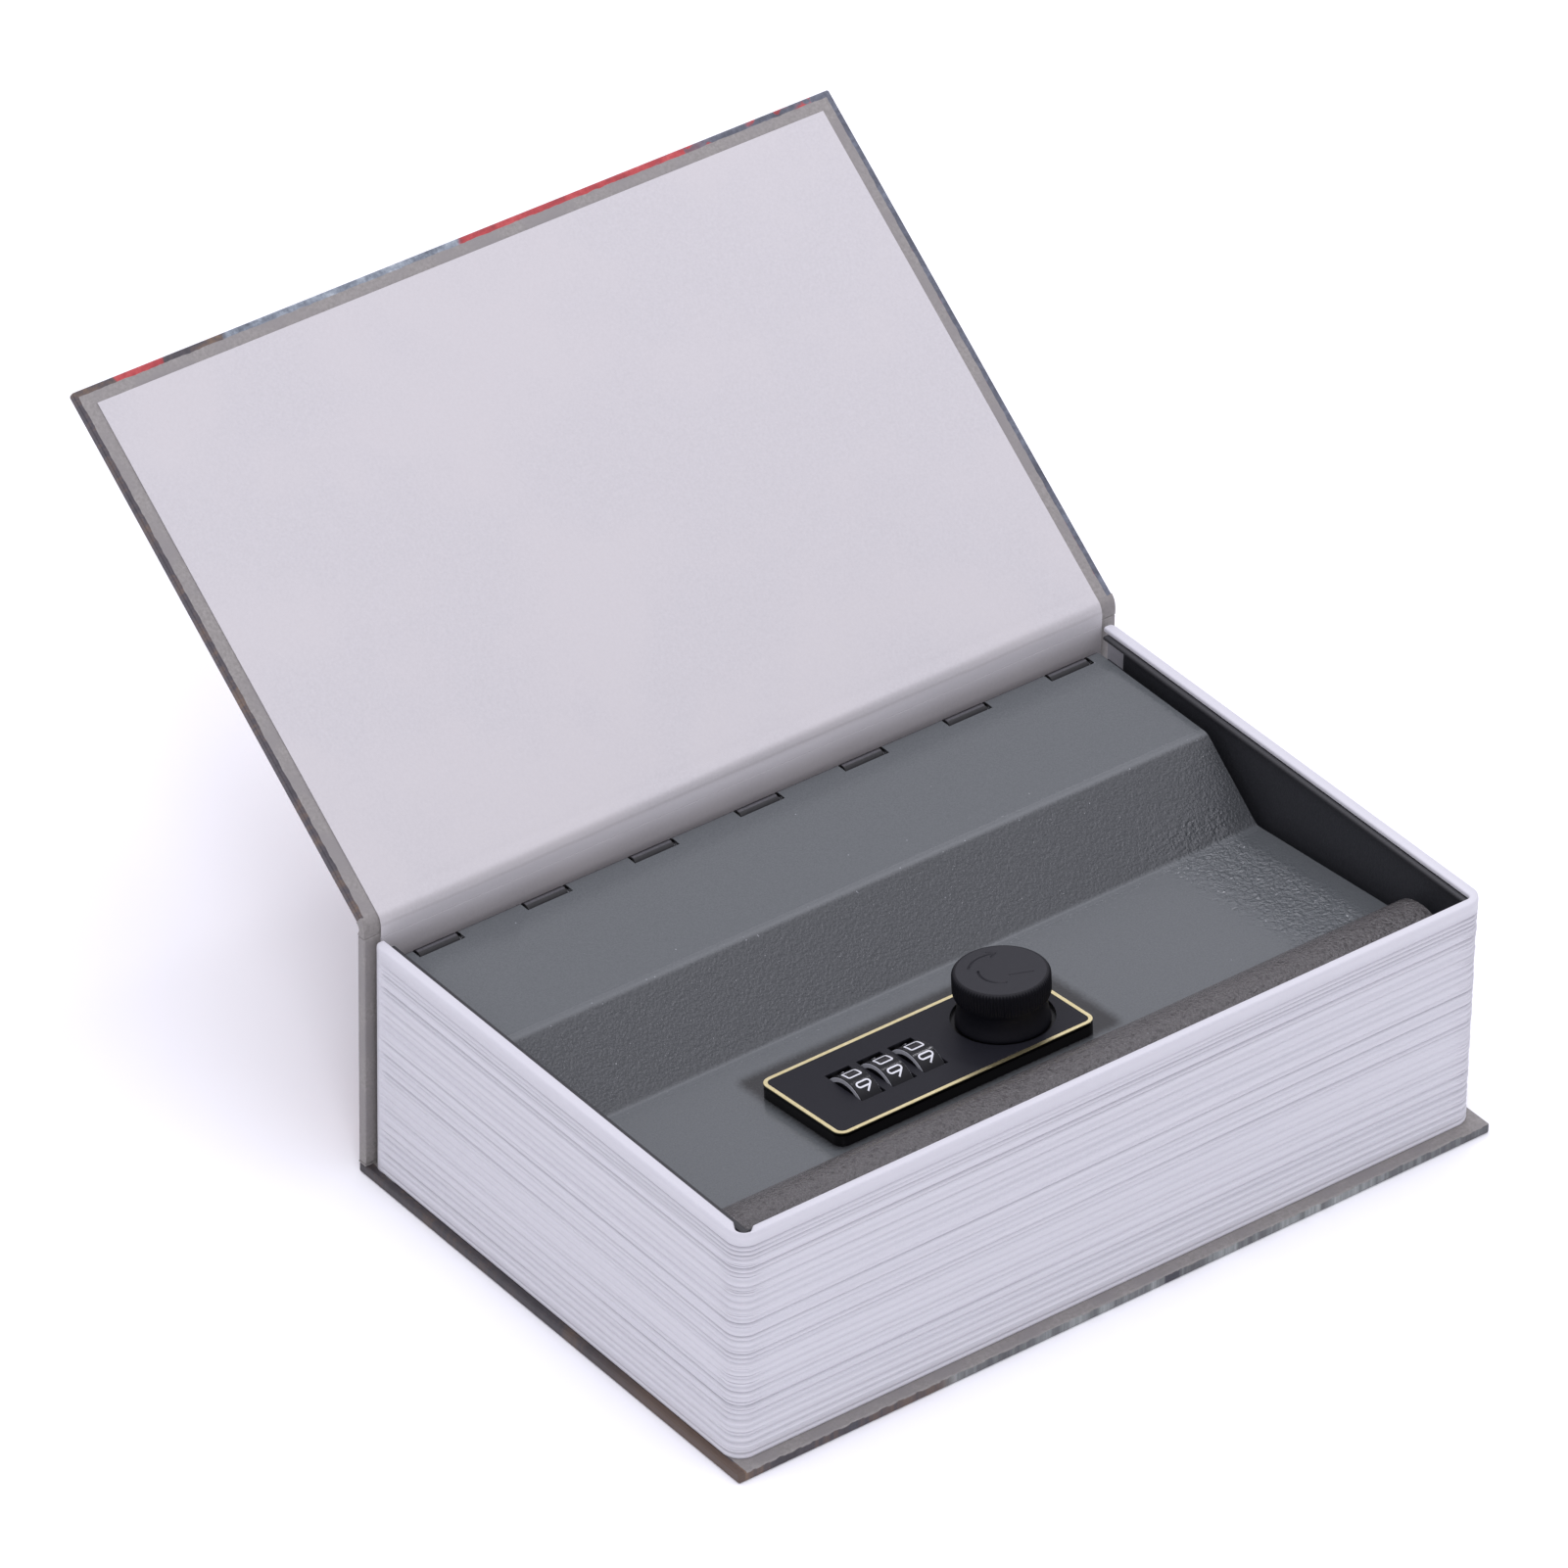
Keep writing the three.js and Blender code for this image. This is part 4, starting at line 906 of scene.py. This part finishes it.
def dense(points, closed, gap=0.16):
    """The stroke with points at most a gap apart."""
    line = list(points) + ([points[0]] if closed else [])
    made = []
    for (x0, y0), (x1, y1) in zip(line, line[1:]):
        count = max(1, math.ceil(math.hypot(x1 - x0, y1 - y0) / gap))
        made += [(x0 + (x1 - x0) * i / count, y0 + (y1 - y0) * i / count) for i in range(count)]
    return made if closed else made + [line[-1]]


def ribbon(points, closed, width):
    """Left and right edges of a stroke."""
    pairs = []
    count = len(points)
    for i, (x, y) in enumerate(points):
        before = points[i - 1] if closed or i > 0 else points[i]
        after = points[(i + 1) % count] if closed or i < count - 1 else points[i]
        ax, ay = x - before[0], y - before[1]
        bx, by = after[0] - x, after[1] - y
        la, lb = math.hypot(ax, ay), math.hypot(bx, by)
        if la:
            ax, ay = ax / la, ay / la
        if lb:
            bx, by = bx / lb, by / lb
        tx, ty = ax + bx, ay + by
        length = math.hypot(tx, ty) or 1
        nx, ny = -ty / length, tx / length
        if la and lb:
            cosine = max(0.5, math.sqrt(max(0, (1 + ax * bx + ay * by) / 2)))
        else:
            cosine = 1
        reach = width / 2 / cosine
        pairs.append(((x + nx * reach, y + ny * reach), (x - nx * reach, y - ny * reach)))
    return pairs


def make_numbers(white):
    """Raised numbers 0 to 9 round each wheel, as ribbons bent to its barrel."""
    radius, raised, stretch, first_angle = 6.8, 0.03, 1.04, 9.1
    strokes = digit_strokes()
    for wheel, u in enumerate(WHEEL_PLACES, 1):
        vertices, faces = [], []
        for digit in range(10):
            centre = math.radians(first_angle + 36 * digit)
            for order, (points, closed) in enumerate(strokes[digit]):
                pairs = ribbon(dense(points, closed), closed, 0.35)
                start = len(vertices)
                for level in (radius + raised + 0.004 * order, radius - raised):
                    for pair in pairs:
                        for gx, gy in pair:
                            angle = centre + gy * stretch / radius
                            v, h = level * math.sin(angle), level * math.cos(angle)
                            vertices.append(tuple(on_lock(u + gx, v, WHEEL_AXLE + h)))
                count = len(pairs)
                under = 2 * count
                for i in range(count if closed else count - 1):
                    j = (i + 1) % count
                    a, b, c, d = start + 2 * i, start + 2 * i + 1, start + 2 * j + 1, start + 2 * j
                    faces += [(a, b, c, d), (a + under, d + under, c + under, b + under)]
                    faces += [(a, d, d + under, a + under), (b, b + under, c + under, c)]
                if not closed:
                    for i in (0, count - 1):
                        a, b = start + 2 * i, start + 2 * i + 1
                        faces.append((a, b, b + under, a + under))
        made = add_object(f"numbers_{wheel}", vertices, faces, white, smooth=False)
        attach(made, f"wheel_{wheel}")


# Knob

def groove_depth(x, y):
    """Depth of the marks on the knob's top: a curved arrow and a short line."""
    def near_line(ax, ay, bx, by):
        dx, dy = bx - ax, by - ay
        t = np.clip(((x - ax) * dx + (y - ay) * dy) / (dx * dx + dy * dy), 0, 1)
        return np.hypot(x - ax - t * dx, y - ay - t * dy)

    angle = np.degrees(np.arctan2(y, x)) % 360
    radius = np.hypot(x, y)
    gap = np.where((angle >= 142) & (angle <= 247), np.abs(radius - 4.3), 9.0)
    gap = np.minimum(gap, np.where((angle >= 62) & (angle <= 136), np.abs(radius - 6.2), 9.0))
    tip = math.radians(62)
    tx, ty = 6.2 * math.cos(tip), 6.2 * math.sin(tip)
    gap = np.minimum(gap, near_line(tx, ty, tx - 1.4, ty - 0.5))
    gap = np.minimum(gap, near_line(tx, ty, tx - 1.0, ty + 1.3))
    gap = np.minimum(gap, near_line(0.3, -2.2, 4.3, -4.1))
    return 0.28 / (1 + np.exp((gap - 0.17) / 0.035))


def make_knob(material, top):
    """Knob with fine ribs and a grooved top. Its profile holds (radius, height, share of the ribs)."""
    centre_u, sides, ribs, top_height = 17.7, 720, 90, 13.2
    profile = [
        (4.1, 9.0, 0), (4.1, 2.4, 0), (8.6, 2.4, 0), (8.85, 2.45, 0), (9.05, 2.6, 0), (9.1, 2.85, 0),
        (9.02, 3.3, 0), (8.88, 3.9, 0), (8.74, 4.5, 0), (8.64, 5.1, 0), (8.6, 5.8, 0), (8.62, 6.6, 0),
        (8.72, 7.3, 0), (8.9, 7.9, 0), (9.08, 8.3, 0), (9.18, 8.5, 0.35), (9.3, 8.75, 1), (9.38, 9.2, 1),
        (9.4, 10.0, 1), (9.4, 11.0, 1), (9.4, 12.0, 1), (9.38, 12.5, 1), (9.3, 12.75, 1),
        (9.16, 12.93, 0.5), (8.98, 13.08, 0), (8.78, 13.17, 0), (8.55, top_height, 0),
    ]
    angles = np.arange(sides) * 2 * math.pi / sides
    wave = 0.5 - 0.5 * np.cos(angles * ribs)
    rings = []
    for radius, height, share in profile:
        around = radius - 0.24 * share * wave
        rings.append((around * np.cos(angles), around * np.sin(angles), np.full(sides, height)))
    for radius in np.linspace(8.45, 0.12, 70):
        x, y = radius * np.cos(angles), radius * np.sin(angles)
        rings.append((x, y, top_height - groove_depth(x, y)))
    vertices = []
    for xs, ys, hs in rings:
        vertices += [tuple(on_lock(centre_u + a, b, c)) for a, b, c in zip(xs, ys, hs)]
    faces = grid_faces(len(rings), sides, closed_columns=True)
    vertices += [tuple(on_lock(centre_u, 0, 9.0)), tuple(on_lock(centre_u, 0, top_height))]
    low, high = len(vertices) - 2, len(vertices) - 1
    last = (len(rings) - 1) * sides
    for j in range(sides):
        faces.append((low, (j + 1) % sides, j))
        faces.append((high, last + j, last + (j + 1) % sides))
    made = add_object("ribbed_knob", vertices, faces, material)
    # The top takes the second material, a lighter copy of the black: painted light on the face that looks
    # up.
    made.data.materials.append(top)
    level = on_lock(0, 0, top_height - 0.6).dot(ALONG_H)
    for polygon in made.data.polygons:
        inward = (polygon.center / MM - on_lock(centre_u, 0, 0)).cross(ALONG_H).length
        if inward < 8.6 and polygon.center.dot(ALONG_H) / MM > level:
            polygon.material_index = 1
    sharpen(made, 50)
    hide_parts("knob")
    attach(made, "knob")


# Coil spring of the code button

def make_spring(node, wire, material):
    """Coil with closed end turns in the node's place."""
    points = [v.co / MM - LOCK_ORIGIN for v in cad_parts[node].data.vertices]
    us = [p.x for p in points]
    vs = [p.dot(ALONG_V) for p in points]
    hs = [p.dot(ALONG_H) for p in points]
    middle = ((min(us) + max(us)) / 2, (min(vs) + max(vs)) / 2)
    radius = (max(us) - min(us)) / 2 - wire
    low, high = min(hs) + wire, max(hs) - wire
    turns, around, sides = 7, 28, 10
    vertices = []
    for i in range(turns * around + 1):
        t = i / around
        eased = np.interp(t, [0, 1, turns - 1, turns], [0, 2 * wire, high - low - 2 * wire, high - low])
        angle = 2 * math.pi * t
        for k in range(sides):
            turn = 2 * math.pi * k / sides
            reach = radius + wire * math.cos(turn)
            vertices.append(tuple(on_lock(
                middle[0] + reach * math.cos(angle), middle[1] + reach * math.sin(angle),
                low + eased + wire * math.sin(turn),
            )))
    rows = turns * around + 1
    faces = grid_faces(rows, sides, closed_columns=True)
    faces.append(tuple(range(sides)))
    faces.append(tuple((rows - 1) * sides + k for k in reversed(range(sides))))
    made = add_object(f"coil_{node}", vertices, faces, material)
    sharpen(made, 60)
    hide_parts(node)
    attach(made, "lid")
    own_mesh(made)


# Dressing

taupe = Finish("taupe_paper", roughness=0.62)
taupe.paint(taupe_paper(taupe))
taupe.bump(taupe.noise(taupe.place, 2.2, 4, 0.6), 0.04, 0.7)
sheet = paper_finish("endpaper_sheet", (187, 184, 186), 9)
steel = metal_finish("zinc_steel", (150, 151, 154), (190, 191, 194), 0.34)
cast = metal_finish("cast_zinc", (158, 160, 163), (192, 193, 197), 0.42, (2, 2, 2))
white = coated_finish("number_white", (196, 197, 202), (214, 215, 219), 0.4, 5, 0.01)
cover_paper = board_finish("front_cover_paper", front_plane, "front", (114.95, 88.7, -89.2))
back_paper = board_finish("back_cover_paper", back_plane, "back", (116.2, 90, -88.3))

dress("front_board", cover_paper, 0.45, 3)
dress("back_board", back_paper, 0.45, 3)
dress("back_joint", taupe.material)
dress("spine_board", spine_finish("spine_paper", 58.95), 0.3)
dress("spine_lining", sheet, 0.05)
dress("tray", tray_finish(), 0.18)
dress("tray_pad", coated_finish("foam_pad", (48, 48, 50), (66, 66, 68), 0.9, 2.5, 0.15))
dress("hinge_rod", steel, 0.1)
dress("strike", steel, 0.15)
dress("lid", lid_finish(), 0.2)
dress("lock_plate", plate_finish(), 0.12)
dress("brass_trim", gold_finish(), 0.12)
dress("lock_case", cast, 0.2)
for index, where in enumerate(WHEEL_PLACES, 1):
    dress(f"number_wheel_{index}", wheel_finish(index, where))
    dress(f"code_sleeve_{index}", cast)
for name in ("wheel_axle", "detent_spring", "fence_spring", "cam", "cam_washer", "cam_screw",
             "case_screw_1", "case_screw_2"):
    dress(name, steel)
for name in ("fence_bar", "spindle", "code_button"):
    dress(name, cast)

make_spring("button_spring", 0.3, steel)
make_pages()
make_joint(taupe.material, sheet)
make_endpaper(sheet)
make_numbers(white)
make_rim(coated_finish("tray_edge_coat", (26, 26, 29), (36, 36, 39), 0.5, 3.5, 0.02))
# The knob's top gets a lighter copy of the satin black: painted light.
make_knob(coated_finish("knob_satin", (8, 8, 13), (16, 16, 22), 0.5, 6, 0.015, shine=0.2),
          coated_finish("knob_top_painted_light", (22, 22, 27), (31, 31, 37), 0.5, 6, 0.015, shine=0.3))


# Floor and light

def make_floor():
    """Pale floor just under the book."""
    floor_paint = Finish("floor_paint", roughness=0.85)
    tint = floor_paint.noise(floor_paint.place, 0.01, 2)
    floor_paint.paint(floor_paint.between(tint, (246, 246, 248), (249, 249, 250)))
    size, level = 6000, -0.05
    corners = [(-size, -size, level), (size, -size, level), (size, size, level), (-size, size, level)]
    floor = add_object("floor", corners, [(0, 1, 2, 3)], floor_paint.material, smooth=False)


def add_light(name, place, target, size, power):
    """Faintly blue light from a rectangle that faces its target, all in metres."""
    data = bpy.data.lights.new(name, "AREA")
    data.shape = "RECTANGLE"
    data.size, data.size_y = size
    data.energy = power
    data.color = (1.0, 0.99, 1.08)
    light = bpy.data.objects.new(name, data)
    light.location = place
    direction = Vector(target) - Vector(place)
    light.rotation_euler = direction.to_track_quat("-Z", "Y").to_euler()
    bpy.context.scene.collection.objects.link(light)


def make_light():
    """Pale sky, a broad light overhead, one from the front left and a small one for the lid's glints."""
    world = bpy.data.worlds.new("studio")
    bpy.context.scene.world = world
    world.use_nodes = True
    sky = world.node_tree.nodes["Background"]
    sky.inputs["Color"].default_value = (0.975, 0.97, 1.06, 1)
    sky.inputs["Strength"].default_value = 0.8
    add_light("top", (0, 0.1, 2.2), (0, 0.03, 0.03), (2.4, 2.4), 26)
    add_light("key", (-0.75, -1.0, 1.35), (0, 0, 0.03), (0.45, 0.45), 7)
    add_light("side", (0.235, 0.183, 0.375), (0.075, -0.01, 0.039), (0.03, 0.03), 0.13)


make_floor()
make_light()
bpy.context.scene.view_settings.view_transform = "Standard"
